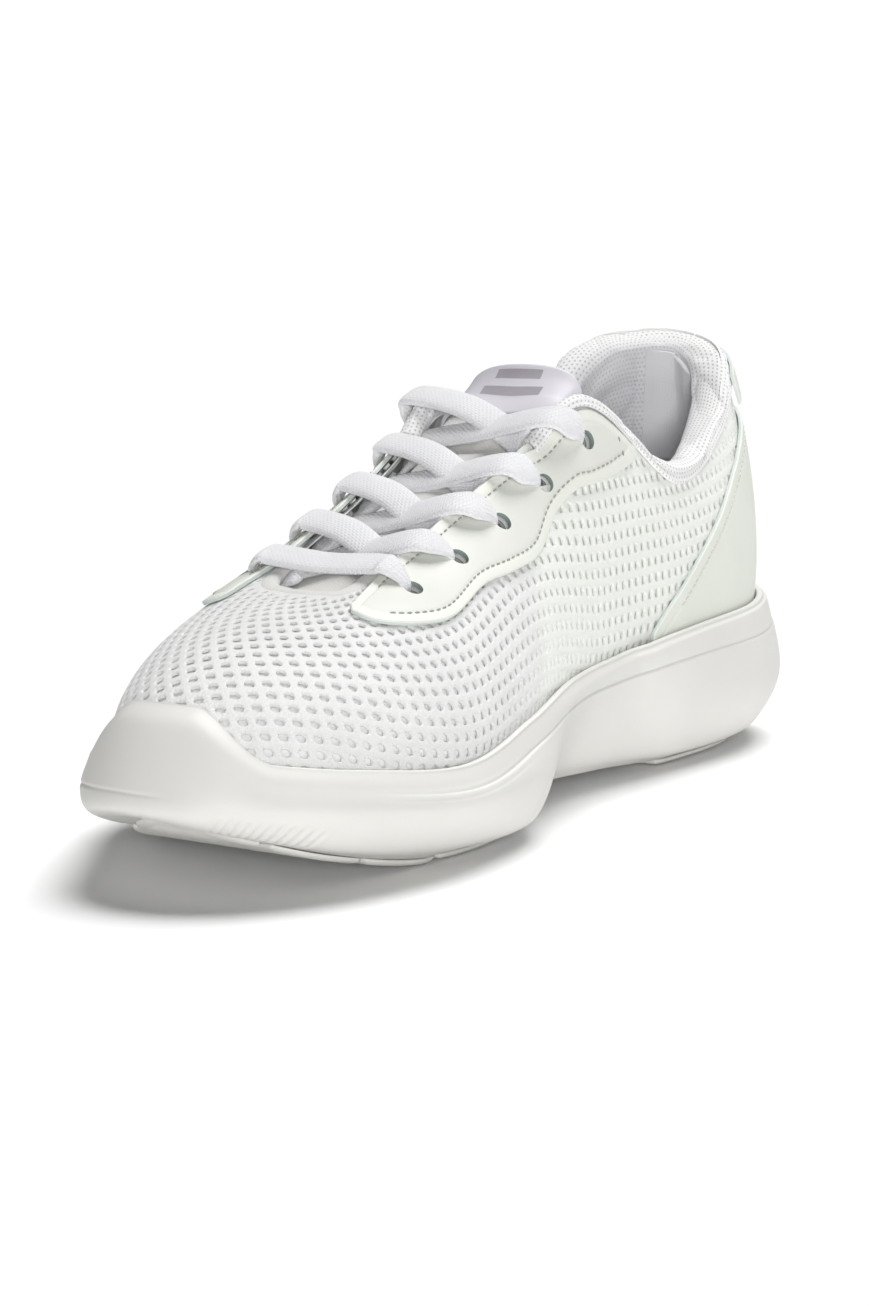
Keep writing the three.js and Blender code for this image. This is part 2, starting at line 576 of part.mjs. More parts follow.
// Knots of the passage through one eyelet, from underneath to on top.
function throughEyelet(place, { s, v }, sideways) {
  const at = place(s);
  const middle = side(at, v);
  const out = sideNormal(at, v);
  const toThroat = side(at, v + 0.03).sub(middle).normalize();
  const lift = (depth, shift) => middle.clone().addScaledVector(out, depth).addScaledVector(toThroat, shift);
  return [
    knot(lift(UNDER_STAY, 3.2), TURNING, sideways),
    knot(lift(UNDER_STAY + 1.1, 0.3), IN_HOLE, sideways),
    knot(lift(0, 0), IN_HOLE, sideways),
    knot(lift(ON_STAY - 1.1, 0.3), IN_HOLE, sideways),
    knot(lift(ON_STAY, 3.2), TURNING, sideways),
  ];
}

// Knots of a strand from the top of one eyelet to the underside of the next on the far side.
function strand(from, to, row, overlie, sideways) {
  const start = EYELETS[row];
  const end = EYELETS[row + 1];
  const a = from.place(start.s - LEAN / 2);
  const b = from.place(start.s - LEAN);
  const c = to.place(end.s + LEAN);
  const d = to.place(end.s + LEAN / 2);
  const leave = skin(b, 1, ON_STAY + 0.2);
  const arrive = skin(c, 1, UNDER_STAY - 0.2);
  const middle = leave.clone().lerp(arrive, 0.5).addScaledVector(UP, overlie ? 1.5 : -0.3);
  return [
    knot(skin(a, 0.93, ON_STAY + 0.4), FLAT, sideways),
    knot(leave, FLAT, sideways),
    knot(middle, FLAT, sideways),
    knot(arrive, FLAT, sideways),
    knot(skin(d, 0.93, UNDER_STAY - 0.2), FLAT, sideways),
  ];
}

// Loose end below eyelet 1, tucked down inside the quarter.
function tuckedEnd(place, sideways) {
  return [[5.5, 0.56, -1], [5.58, 0.64, -0.5], [5.7, 0.72, -0.2], [5.8, 0.79, 0]].map(([s, v, more]) =>
    knot(skin(place(s), v, UNDER_STAY + more), v < 0.75 ? FLAT : TURNING, sideways));
}

function laceKnots() {
  const [medial, lateral] = BOTH;
  const sides = [medial, lateral];
  const towards = new THREE.Vector3(-1, 0, 0.35).normalize();
  const half = (first) => {
    const knots = [];
    knots.push(...tuckedEnd(sides[first].place, towards));
    for (let row = 0; row < EYELETS.length; row++) {
      const here = sides[(first + row) % 2];
      const passage = throughEyelet(here.place, EYELETS[row], towards);
      knots.push(...(row === 0 ? passage.slice(1) : passage));
      if (row < EYELETS.length - 1) {
        const there = sides[(first + row + 1) % 2];
        const slant = side(here.place(EYELETS[row].s), 1).sub(side(there.place(EYELETS[row + 1].s), 1));
        const wide = slant.cross(UP).normalize();
        if (wide.x > 0) wide.negate();
        wide.z = 0.35;
        knots.push(...strand(here, there, row, here === lateral, wide.normalize()));
      }
    }
    return knots;
  };
  const down = half(0);
  const up = half(1);
  const last = EYELETS.at(-1);
  const bar = [
    knot(skin(medial.place(last.s - 0.1), 0.93, ON_STAY), FLAT, towards),
    knot(side(last.s - 0.2, 1).lerp(side(across(last.s - 0.2), 1), 0.5).addScaledVector(UP, 3.4), FLAT, towards),
    knot(skin(lateral.place(last.s - 0.1), 0.93, ON_STAY), FLAT, towards),
  ];
  return [...down, ...bar, ...up.reverse()];
}

// Flat cord swept through knots that carry a width, a thickness and a sideways direction.
function sweep(knots, stepsPerSpan) {
  const path = new THREE.CatmullRomCurve3(knots.map((k) => k.point), false, "catmullrom", 0.5);
  const spans = knots.length - 1;
  const points = [];
  const count = spans * stepsPerSpan;
  for (let i = 0; i <= count; i++) {
    const at = i / count;
    const k = Math.min(Math.floor(at * spans), spans - 1);
    const blend = at * spans - k;
    const [p, q] = [knots[k], knots[k + 1]];
    const centre = path.getPoint(at);
    const along = path.getTangent(at);
    const sideways = p.sideways.clone().lerp(q.sideways, blend).normalize();
    const wide = sideways.addScaledVector(along, -sideways.dot(along)).normalize();
    const flat = along.clone().cross(wide).normalize();
    for (let j = 0; j < LACE_SIDES; j++) {
      const turn = (2 * Math.PI * (j + 0.5)) / LACE_SIDES;
      points.push(centre.clone()
        .addScaledVector(wide, (mix(p.width, q.width, blend) / 2) * Math.cos(turn) * 1.04)
        .addScaledVector(flat, (mix(p.thick, q.thick, blend) / 2) * Math.sin(turn) * 1.04));
    }
  }
  const faces = [];
  for (let i = 0; i < count; i++) {
    for (let j = 0; j < LACE_SIDES; j++) {
      const a = i * LACE_SIDES + j;
      const b = i * LACE_SIDES + ((j + 1) % LACE_SIDES);
      faces.push([a, b, b + LACE_SIDES], [a, b + LACE_SIDES, a + LACE_SIDES]);
    }
  }
  for (let j = 1; j < LACE_SIDES - 1; j++) {
    const end = count * LACE_SIDES;
    faces.push([0, j + 1, j], [end, end + j, end + j + 1]);
  }
  return body(points, faces);
}

function addLace() {
  const knots = laceKnots();
  add("lace", sweep(knots, 2), "#f4f4f5", 0.85);
  for (const { name, place } of BOTH) {
    const [tip] = tuckedEnd(place, UP).map((k) => k.point);
    const down = skin(place(5.42), 0.31, UNDER_STAY - 4).sub(tip).normalize();
    const middle = tip.clone().addScaledVector(down, GAP + AGLET_LENGTH / 2);
    const tube = new THREE.CylinderGeometry(AGLET_DIAMETER / 2, AGLET_DIAMETER / 2, AGLET_LENGTH, 10);
    add(`aglet_${name}`, alongAxis(tube, middle, down), "#f2f2f2", 0.3);
  }
}

addSole();
addOutsole();
addUpper();
addEyestays();
addCollar();
addHeelOverlays();
addTongue();
addLace();

// The origin is on the ground under the middle of the sole's outline.
const outline = new THREE.Box3().setFromObject(shoe);
const centre = outline.getCenter(new THREE.Vector3());
shoe.position.set(-centre.x, -centre.y, -outline.min.z);

export default shoe;
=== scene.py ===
"""Running shoe, right foot: foam sole, perforated spacer mesh, leather stays, padded collar, flat lace.

Shapes are drawn in millimetres from the back of the heel, +X to the toe, +Y to the arch side, +Z up,
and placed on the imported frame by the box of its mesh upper.
"""
import math

import bpy
import numpy as np
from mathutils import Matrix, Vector


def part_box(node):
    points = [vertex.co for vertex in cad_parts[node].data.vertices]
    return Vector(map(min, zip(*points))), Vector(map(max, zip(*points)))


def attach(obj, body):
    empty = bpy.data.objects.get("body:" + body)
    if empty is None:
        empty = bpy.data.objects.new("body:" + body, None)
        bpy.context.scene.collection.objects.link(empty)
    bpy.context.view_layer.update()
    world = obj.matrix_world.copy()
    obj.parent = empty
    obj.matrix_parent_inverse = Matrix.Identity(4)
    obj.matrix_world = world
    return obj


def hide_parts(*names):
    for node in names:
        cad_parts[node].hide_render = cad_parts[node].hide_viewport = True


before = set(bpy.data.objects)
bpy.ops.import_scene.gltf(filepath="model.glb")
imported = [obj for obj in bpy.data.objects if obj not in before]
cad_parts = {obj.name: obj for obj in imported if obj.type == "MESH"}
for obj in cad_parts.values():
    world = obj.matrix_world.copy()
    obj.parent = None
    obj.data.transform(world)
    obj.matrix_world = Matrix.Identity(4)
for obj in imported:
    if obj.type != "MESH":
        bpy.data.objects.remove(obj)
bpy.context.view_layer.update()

# ---- Driving sizes, mm -------------------------------------------------------------------
MM = 0.001
GAP = 0.3
MESH_THICK = 1.5
OVERLAY_THICK = 1.2
BACKER_THICK = 0.7
BACKER_EASE = 0.1
LINING_THICK = 1.0
COUNTER_THICK = 1.5
COLLAR_PAD = 6.0
COLLAR_ROLL = 2.0
TAB_THICK = 1.1
STROBEL_THICK = 1.5
INSOLE_THICK = 4.5
COVER_THICK = 0.8
PLATE_INSET = 5.6  # insole, inside the feather line
RIM_THICK = 3.2
RIM_INSET = 0.5
PAD_THICK = 1.5
EYELET_DIAMETER = 5.2
LACE_WIDTH = 8.6
LACE_THICK = 2.7
TONGUE_DEPTH = 6.65
TONGUE_THICK = 6.0
HOLE_PITCH = (3.85, 3.6)  # mesh holes along and across the flat cut
HOLE_SHARE = 0.6
HOLE_DEPTH = 0.85
VAMP_TURN = 31.0  # degrees that the mesh grid is turned on the vamp
VAMP_END = 3.4  # station where the vamp's mesh meets the quarters'
STITCH_PITCH = 2.3
STITCH_MARGIN = 3.3

# ---- The last: stations round the shoe, toe - arch side - heel - outer side ----------------
# foot on the feather line, top on the top line, belly (out, up), pull on the section at the
# top, wall (out, height) of the sole's bottom edge, low wall and widest place, rim share.
STATIONS = [
    ((280.5, 3, 23), (212, 1, 64), (4.5, 25), (34, 0, -3), (-6, 19.5, 5, 20.5, 8, 25.5), 0.155),
    ((275, 23, 22), (211.5, 6.5, 64), (5, 24), (32, 6, -4), (-6, 15.5, 3.5, 17, 7.5, 24), 0.165),
    ((252, 39.5, 19), (208, 12.5, 65), (7, 23), (22, 14, -6), (-7.5, 8.2, 2, 11, 7.5, 20.5), 0.16),
    ((216, 47, 16.5), (190, 14.5, 70.5), (7, 24), (5, 19, -8), (-8.5, 1.8, 1.5, 6.5, 8, 17), 0.13),
    ((178, 42.5, 17.5), (164, 15, 80), (6, 24), (2, 19, -12), (-4, 1.8, 4.5, 5.5, 8.5, 18), 0.175),
    ((141, 34, 21), (137, 17, 91.5), (4, 25), (0, 16, -17), (-9, 5, -4, 10, 1.5, 18.5), 0.175),
    ((108, 30.5, 25.5), (111, 21, 104), (3, 25), (0, 11, -21), (-6, 4, -1, 9, 3, 21), 0.135),
    ((72, 30.5, 29), (73, 28, 82), (3.5, 21), (0, 4, -18), (-4, 1.8, 2, 5.5, 6.5, 19.5), 0.16),
    ((36, 29, 31.5), (40, 22.5, 91), (4, 21), (-1, 6, -18), (-4, 1.8, 3.5, 5.5, 9, 19), 0.13),
    ((11, 16.5, 32.5), (17.5, 13, 106), (4, 23), (-5, 6, -24), (-4, 1.8, 3.5, 5.5, 10, 18), 0.113),
    ((4.5, 0, 33), (9, 0, 111), (4, 23), (-8, 0, -26), (-4.5, 2.6, 3, 7.5, 7.5, 19.5), 0.11),
    ((11, -16.5, 32.5), (16, -14.5, 112), (4, 23), (-5, -6, -24), (-4, 1.8, 3.5, 5.5, 10, 18), 0.113),
    ((36, -29.5, 31.5), (34, -24.5, 107.5), (4, 21), (-1, -6, -22), (-4, 1.8, 3.5, 5.5, 9, 19), 0.13),
    ((72, -32.5, 29), (67, -27, 86.5), (4, 21), (0, -5, -18), (-4, 1.8, 2, 5.5, 6.5, 19.5), 0.16),
    ((108, -36, 25.5), (111, -21, 103), (4, 25), (0, -11, -21), (-4, 1.8, 2, 5, 5, 21), 0.135),
    ((141, -41, 21), (137, -17, 91), (5, 25), (0, -16, -17), (-4, 1.8, 2, 5, 5, 21), 0.175),
    ((176, -46, 17.5), (164, -15, 80), (6, 24), (2, -19, -12), (-5, 1.8, 4, 4, 8, 19), 0.175),
    ((212, -45, 16.5), (190, -14.5, 70.5), (7, 24), (5, -19, -8), (-5, 1.8, 4, 4, 8.5, 17), 0.13),
    ((245.5, -31, 19), (208, -12, 65), (6, 23), (22, -14, -6), (-6, 7.5, 3, 10, 6, 20), 0.16),
    ((271.5, -13.5, 22), (211.5, -5, 64), (5, 24), (32, -6, -4), (-5, 15.5, 5.5, 17.5, 8, 23.5), 0.165),
]
ROUND = len(STATIONS)
HEEL = ROUND / 2
BUMPER_RISE = 0.18
SOLE_BASE = PAD_THICK + GAP
UP = np.array([0.0, 0.0, 1.0])


# ---- Small helpers -----------------------------------------------------------------------
def mix(a, b, k):
    return a + (b - a) * k


def ease(a, b, x):
    k = np.clip((np.asarray(x, float) - a) / (b - a), 0, 1)
    return k * k * (3 - 2 * k)


def from_toe(s):
    return HEEL - np.abs(HEEL - np.asarray(s, float) % ROUND)


def unit(v):
    return v / np.maximum(np.linalg.norm(v, axis=-1, keepdims=True), 1e-9)


def spline_weights(p0, p1, p2, p3, f):
    return 0.5 * (2 * p1 + (p2 - p0) * f + (2 * p0 - 5 * p1 + 4 * p2 - p3) * f**2
                  + (-p0 + 3 * p1 - 3 * p2 + p3) * f**3)


def loop_line(values):
    """Closed smooth line through one value for each station."""
    knots = np.array([np.atleast_1d(v) for v in values], float)

    def at(s):
        s = np.asarray(s, float) % len(knots)
        i = np.floor(s).astype(int)
        four = [knots[(i + k) % len(knots)] for k in (-1, 0, 1, 2)]
        return spline_weights(*four, (s - i)[..., None])
    return at


def open_line(knots):
    """Open smooth line through knots (n, ..., k); at(t) takes t from 0 to n - 1."""
    knots = np.asarray(knots, float)
    ends = [2 * knots[:1] - knots[1:2], knots, 2 * knots[-1:] - knots[-2:-1]]
    padded = np.concatenate(ends)

    def at(t):
        t = np.clip(np.asarray(t, float), 0, len(knots) - 1)
        i = np.minimum(np.floor(t).astype(int), len(knots) - 2)
        f = (t - i).reshape(t.shape + (1,) * (knots.ndim - 1))
        return spline_weights(*(padded[i + k] for k in range(4)), f)
    return at


def through(*pairs):
    """Smooth value through given (x, value) pairs, flat beyond both ends."""
    x, y = np.array(pairs, float).T
    slope = np.gradient(y, x, edge_order=1)
    slope[1:-1] = (y[2:] - y[:-2]) / (x[2:] - x[:-2])

    def at(q):
        q = np.clip(np.asarray(q, float), x[0], x[-1])
        i = np.clip(np.searchsorted(x, q, side="right") - 1, 0, len(x) - 2)
        w = x[i + 1] - x[i]
        k = (q - x[i]) / w
        bend = k * (1 - k) * ((1 - k) * slope[i] * w - k * slope[i + 1] * w)
        return mix(y[i], y[i + 1], k * k * (3 - 2 * k)) + bend
    return at


foot_line, top_line, belly_line, pull_line, wall_line, rim_line = (
    loop_line([station[column] for station in STATIONS]) for column in range(6))


# ---- The upper's surface -----------------------------------------------------------------
def outward(s):
    s = np.asarray(s, float)
    along = foot_line(s + 0.02) - foot_line(s - 0.02)
    return unit(np.stack([along[..., 1], -along[..., 0], 0 * along[..., 0]], -1))


def side(s, v):
    """Point on the side of the last: station s, share v of the way up the section."""
    s, v = np.broadcast_arrays(np.asarray(s, float), np.asarray(v, float))
    foot, top, belly = foot_line(s), top_line(s), belly_line(s)
    low = foot + outward(s) * belly[..., :1] + UP * belly[..., 1:]
    high = top + pull_line(s)
    v = v[..., None]
    return (1 - v) ** 3 * foot + 3 * (1 - v) ** 2 * v * low + 3 * (1 - v) * v**2 * high + v**3 * top


def normal(s, v):
    s, v = np.asarray(s, float), np.asarray(v, float)
    return unit(np.cross(side(s + 0.03, v) - side(s - 0.03, v), side(s, v + 0.01) - side(s, v - 0.01)))


def skin(s, v, depth):
    depth = np.asarray(depth, float)
    return side(s, v) + normal(s, v) * depth[..., None]


def recess(s):
    return RIM_INSET + (GAP + OVERLAY_THICK) * ease(6.1, 6.4, from_toe(s))


def rim_height(s):
    return rim_line(s)[..., 0] + BUMPER_RISE * (1 - ease(0.45, 1.35, from_toe(s)))


def beside_foot(s, out, up):
    out, up = (np.asarray(q, float)[..., None] for q in (out, up))
    return foot_line(s) + outward(s) * out + UP * up


def wall_point(s, ring):
    wall = wall_line(s)
    point = foot_line(s) + outward(s) * wall[..., 2 * ring:2 * ring + 1]
    point[..., 2] = np.maximum(SOLE_BASE, wall[..., 2 * ring + 1])
    return point


def place_on_frame():
    """Scale and place of the drawing, from the box of the frame's upper, which is the same surface."""
    s = np.arange(60)[:, None] / 3
    edge = 1 - 0.035 * ease(4.9, 5.3, from_toe(s))
    drawn = side(s, edge * np.arange(9)[None, :] / 8).reshape(-1, 3)
    low, high = (np.array(corner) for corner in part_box("upper_mesh"))
    scale = (high - low) / (drawn.max(0) - drawn.min(0))
    return scale, low - drawn.min(0) * scale


SCALE, SHIFT = place_on_frame()


def placed(points):
    """Metres in the frame, from the drawing's millimetres."""
    return np.asarray(points, float) * SCALE + SHIFT


# ---- Meshes ------------------------------------------------------------------------------
def grid_faces(columns, rows, loop=False, start=0):
    i = np.arange(columns if loop else columns - 1)[:, None]
    j = np.arange(rows - 1)[None, :]
    a, b = i * rows + j, (i + 1) % columns * rows + j
    return np.stack([a, b, b + 1, a + 1], -1).reshape(-1, 4) + start


def face_out(points, faces):
    """Whether the four-cornered faces of a closed body point out."""
    p = points[faces]
    return sum(np.einsum("ij,ij->", p[:, 0], np.cross(p[:, k], p[:, k + 1])) for k in (1, 2)) > 0


def outside_out(points, faces):
    """Turns the faces of a closed body so that they point out."""
    return faces if face_out(points, faces) else faces[:, ::-1]


def shell(outer, inner, loop=False):
    """Closed body between two lattices (columns, rows, 3): points, faces and 1 where a face is cut edge."""
    columns, rows = outer.shape[:2]
    count = columns * rows
    top = grid_faces(columns, rows, loop)
    faces = [top, top[:, ::-1] + count]
    i = np.arange(columns if loop else columns - 1)
    a, b = i * rows, (i + 1) % columns * rows
    last = rows - 1
    edge = [np.stack([a, a + count, b + count, b], -1),
            np.stack([a + last, b + last, b + last + count, a + last + count], -1)]
    if not loop:
        j = np.arange(rows - 1)
        end = (columns - 1) * rows
        edge += [np.stack([j, j + 1, j + 1 + count, j + count], -1),
                 np.stack([end + j, end + j + count, end + j + 1 + count, end + j + 1], -1)]
    points = np.concatenate([outer.reshape(-1, 3), inner.reshape(-1, 3)])
    every = np.concatenate(faces + edge)
    is_edge = np.zeros(len(every), int)
    is_edge[2 * len(top):] = 1
    return points, outside_out(points, every), is_edge


def lengths(lattice):
    """How far along and across each lattice point lies, in mm, for the pieces' own UV maps."""
    def run(p, axis):
        step = np.linalg.norm(np.diff(p, axis=axis), axis=-1)
        zero = np.zeros_like(np.take(step, [0], axis))
        return np.concatenate([zero, np.cumsum(step, axis)], axis)
    along = run(lattice, 0).mean(1, keepdims=True) * np.ones(lattice.shape[:2])
    return np.stack([along, run(lattice, 1)], -1)


def both_sides(values):
    """One lattice's numbers, for the outer and again for the inner points of a shell."""
    return np.concatenate([values.reshape(-1, *values.shape[2:])] * 2)


def edge_distance(size, root=True):
    """How far each point of a sheet lies from its nearest edge, in mm; the root edge may be left out."""
    along, wide = size[..., 0], size[..., 1]
    edges = [wide, wide[:, -1:] - wide, along[-1:] - along]
    return np.minimum.reduce(edges + [along] if root else edges)


def rounded_rim(edge, radius):
    """0 at a sheet's edge, rising to 1 along a quarter circle."""
    return np.sqrt(np.clip(1 - (1 - np.minimum(edge / radius, 1)) ** 2, 0, 1))


def set_attribute(mesh, label, values, domain="POINT"):
    """One number, or one direction where values has three columns, for each point or face."""
    values = np.asarray(values, np.float32)
    kind, field = ("FLOAT_VECTOR", "vector") if values.shape[1:] == (3,) else ("FLOAT", "value")
    mesh.attributes.new(label, kind, domain).data.foreach_set(field, values.ravel())


def make_piece(name, points, faces, materials, slots=None, uv=None, attributes=None, sharp=None):
    """A mesh object from drawing points; uv is in mm, and it and the attributes are for each point."""
    if not isinstance(faces, list):
        faces = [tuple(face) for face in faces.tolist()]
    mesh = bpy.data.meshes.new(name)
    mesh.from_pydata(placed(points).tolist(), [], faces)
    for material in materials:
        mesh.materials.append(material)
    mesh.polygons.foreach_set("use_smooth", np.ones(len(mesh.polygons), bool))
    if slots is not None:
        mesh.polygons.foreach_set("material_index", np.asarray(slots, np.int32))
    if uv is not None:
        corner = np.zeros(len(mesh.loops), np.int32)
        mesh.loops.foreach_get("vertex_index", corner)
        layer = mesh.uv_layers.new(name="cloth")
        layer.data.foreach_set("uv", (np.asarray(uv, float).reshape(-1, 2) * MM)[corner].ravel())
    for label, values in (attributes or {}).items():
        set_attribute(mesh, label, values)
    if sharp is not None:
        mesh.set_sharp_from_angle(angle=math.radians(sharp))
    mesh.update()
    return linked(name, mesh)


def linked(name, mesh):
    piece = bpy.data.objects.new(name, mesh)
    bpy.context.scene.collection.objects.link(piece)
    return piece


def belongs(piece, body, slot, *nodes):
    """The piece moves with a body and stands for CAD nodes; slot is not used."""
    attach(piece, body)
    if nodes:
        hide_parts(*nodes)
    return piece


# ---- Geometry Nodes ----------------------------------------------------------------------
def put(tree, kind, settings=None, **inputs):
    node = tree.nodes.new(kind)
    for key, value in (settings or {}).items():
        setattr(node, key, value)
    for key, value in inputs.items():
        socket = node.inputs[int(key[1:])] if key[0] == "_" else node.inputs[key.replace("_", " ")]
        if isinstance(value, bpy.types.NodeSocket):
            tree.links.new(value, socket)
        else:
            socket.default_value = value
    return node


def geometry_tree(name, sizes):
    """An empty tree with named sizes; returns the tree, its input node and a closing function."""
    tree = bpy.data.node_groups.new(name, "GeometryNodeTree")
    kinds = {float: "NodeSocketFloat", int: "NodeSocketInt", str: "NodeSocketMaterial"}
    tree.interface.new_socket("Geometry", in_out="INPUT", socket_type="NodeSocketGeometry")
    for label, kind in sizes.items():
        tree.interface.new_socket(label, in_out="INPUT", socket_type=kinds[kind])
    tree.interface.new_socket("Geometry", in_out="OUTPUT", socket_type="NodeSocketGeometry")
    start = tree.nodes.new("NodeGroupInput")

    def close(geometry):
        real = put(tree, "GeometryNodeRealizeInstances", Geometry=geometry)
        smooth = put(tree, "GeometryNodeSetShadeSmooth", Geometry=real.outputs[0])
        painted = put(tree, "GeometryNodeSetMaterial", Geometry=smooth.outputs[0],
                      Material=start.outputs["Finish"])
        tree.links.new(painted.outputs[0], tree.nodes.new("NodeGroupOutput").inputs[0])
    return tree, start, close


def grown(piece, tree, **values):
    """Runs a tree on the piece and keeps the result as its plain mesh."""
    modifier = piece.modifiers.new(tree.name, "NODES")
    modifier.node_group = tree
    for item in tree.interface.items_tree:
        if item.in_out == "INPUT" and item.name in values:
            modifier[item.identifier] = values[item.name]
    keep_result(piece)
    piece.data.name = piece.name
    return piece


def keep_result(piece):
    """Turns what the piece's modifiers make into its own mesh."""
    bpy.context.view_layer.update()
    final = bpy.data.meshes.new_from_object(piece.evaluated_get(bpy.context.evaluated_depsgraph_get()))
    piece.modifiers.clear()
    piece.data = final


def perforation_tree():
    """Turns each face of a cloth grid into a cell of spacer mesh with a rounded hole through it."""
    tree, start, close = geometry_tree("perforated_cloth", {"Hole": float, "Depth": float, "Finish": str})
    solid = put(tree, "GeometryNodeInputNamedAttribute", {"data_type": "FLOAT"}, Name="solid")
    open_cell = put(tree, "FunctionNodeCompare", {"operation": "LESS_THAN"}, _0=solid.outputs[0], _1=0.5)
    rim = put(tree, "GeometryNodeExtrudeMesh", {"mode": "FACES"}, Mesh=start.outputs["Geometry"],
              Selection=open_cell.outputs[0], Offset_Scale=0.0, Individual=True)
    hole = put(tree, "GeometryNodeScaleElements", Geometry=rim.outputs["Mesh"],
               Selection=rim.outputs["Top"], Scale=start.outputs["Hole"])
    down = put(tree, "ShaderNodeMath", {"operation": "MULTIPLY"}, _0=start.outputs["Depth"], _1=-1.0)
    wall = put(tree, "GeometryNodeExtrudeMesh", {"mode": "FACES"}, Mesh=hole.outputs[0],
               Selection=rim.outputs["Top"], Offset_Scale=down.outputs[0], Individual=True)
    through_cut = put(tree, "GeometryNodeDeleteGeometry", {"domain": "FACE"}, Geometry=wall.outputs["Mesh"],
                      Selection=wall.outputs["Top"])
    rounded = put(tree, "GeometryNodeSubdivisionSurface", Mesh=through_cut.outputs[0], Level=1)
    close(rounded.outputs[0])
    return tree


def stitch_tree():
    """Lays short thread stitches along a line of points; each point carries the cloth's normal."""
    sizes = {"Pitch": float, "Length": float, "Thread": float, "Finish": str}
    tree, start, close = geometry_tree("stitches", sizes)
    line = put(tree, "GeometryNodeMeshToCurve", Mesh=start.outputs["Geometry"])
    spaced = put(tree, "GeometryNodeResampleCurve", {"mode": "LENGTH"}, Curve=line.outputs[0],
                 Length=start.outputs["Pitch"])
    facing = put(tree, "GeometryNodeInputNamedAttribute", {"data_type": "FLOAT_VECTOR"}, Name="facing")
    along = put(tree, "GeometryNodeInputTangent")
    flat = put(tree, "FunctionNodeAlignRotationToVector", {"axis": "Z"}, Vector=facing.outputs[0])
    turned = put(tree, "FunctionNodeAlignRotationToVector", {"axis": "X", "pivot_axis": "Z"},
                 Rotation=flat.outputs[0], Vector=along.outputs[0])
    bead = put(tree, "GeometryNodeMeshUVSphere", Segments=6, Rings=4, Radius=0.5)
    shape = put(tree, "ShaderNodeCombineXYZ", X=start.outputs["Length"], Y=start.outputs["Thread"],
                Z=start.outputs["Thread"])
    laid = put(tree, "GeometryNodeInstanceOnPoints", Points=spaced.outputs[0], Instance=bead.outputs[0],
               Rotation=turned.outputs[0], Scale=shape.outputs[0])
    close(laid.outputs[0])
    return tree


# ---- Shader effects shared by the finishes --------------------------------------------------
def shader_group(name, sizes, outputs):
    tree = bpy.data.node_groups.new(name, "ShaderNodeTree")
    tree.interface.new_socket("Vector", in_out="INPUT", socket_type="NodeSocketVector")
    for label in sizes:
        tree.interface.new_socket(label, in_out="INPUT", socket_type="NodeSocketFloat")
    for label in outputs:
        tree.interface.new_socket(label, in_out="OUTPUT", socket_type="NodeSocketFloat")
    return tree, tree.nodes.new("NodeGroupInput").outputs, tree.nodes.new("NodeGroupOutput").inputs


def calc(tree, operation, a, b=0.0, c=0.0):
    return put(tree, "ShaderNodeMath", {"operation": operation}, _0=a, _1=b, _2=c).outputs[0]


def soft_tone():
    """Slow cloudy change, from 0 to 1, for colour and roughness."""
    tree, given, gives = shader_group("soft_tone", ["Size"], ["Mask"])
    rate = calc(tree, "DIVIDE", 1.0, given["Size"])
    cloud = put(tree, "ShaderNodeTexNoise", Vector=given["Vector"], Scale=rate, Detail=4.0, Roughness=0.55)
    spread = put(tree, "ShaderNodeMapRange", {"interpolation_type": "SMOOTHSTEP"}, Value=cloud.outputs[0],
                 From_Min=0.3, From_Max=0.7)
    tree.links.new(spread.outputs[0], gives["Mask"])
    return tree


def plain_weave():
    """Threads over and under each other at one pitch, as a height."""
    tree, given, gives = shader_group("plain_weave", ["Pitch"], ["Height"])
    place = put(tree, "ShaderNodeSeparateXYZ", Vector=given["Vector"])
    rate = calc(tree, "DIVIDE", math.pi, given["Pitch"])
    waves = [calc(tree, "SINE", calc(tree, "MULTIPLY", place.outputs[k], rate)) for k in (0, 1)]
    over = calc(tree, "GREATER_THAN", calc(tree, "MULTIPLY", *waves), 0.0)
    warp, weft = (calc(tree, "ABSOLUTE", wave) for wave in waves)
    height = put(tree, "ShaderNodeMix", {"data_type": "FLOAT"}, _0=over, _2=warp, _3=weft)
    tree.links.new(height.outputs[0], gives["Height"])
    return tree


def knit_dots():
    """Staggered rows of small round openings: 1 in an opening, 0 on the yarn."""
    tree, given, gives = shader_group("knit_dots", ["Pitch", "Opening"], ["Mask"])
    place = put(tree, "ShaderNodeSeparateXYZ", Vector=given["Vector"])
    across, up = (calc(tree, "DIVIDE", place.outputs[k], given["Pitch"]) for k in (0, 1))
    up = calc(tree, "MULTIPLY", up, 1.15)
    odd = calc(tree, "MODULO", calc(tree, "ABSOLUTE", calc(tree, "FLOOR", up)), 2.0)
    across = calc(tree, "ADD", across, calc(tree, "MULTIPLY", odd, 0.5))
    near = [calc(tree, "SUBTRACT", calc(tree, "FRACT", q), 0.5) for q in (across, up)]
    squares = [calc(tree, "MULTIPLY", q, q) for q in near]
    radius = calc(tree, "SQRT", calc(tree, "ADD", *squares))
    dot = put(tree, "ShaderNodeMapRange", {"interpolation_type": "SMOOTHSTEP"}, Value=radius,
              From_Min=given["Opening"], From_Max=calc(tree, "MULTIPLY", given["Opening"], 0.45))
    tree.links.new(dot.outputs[0], gives["Mask"])
    return tree


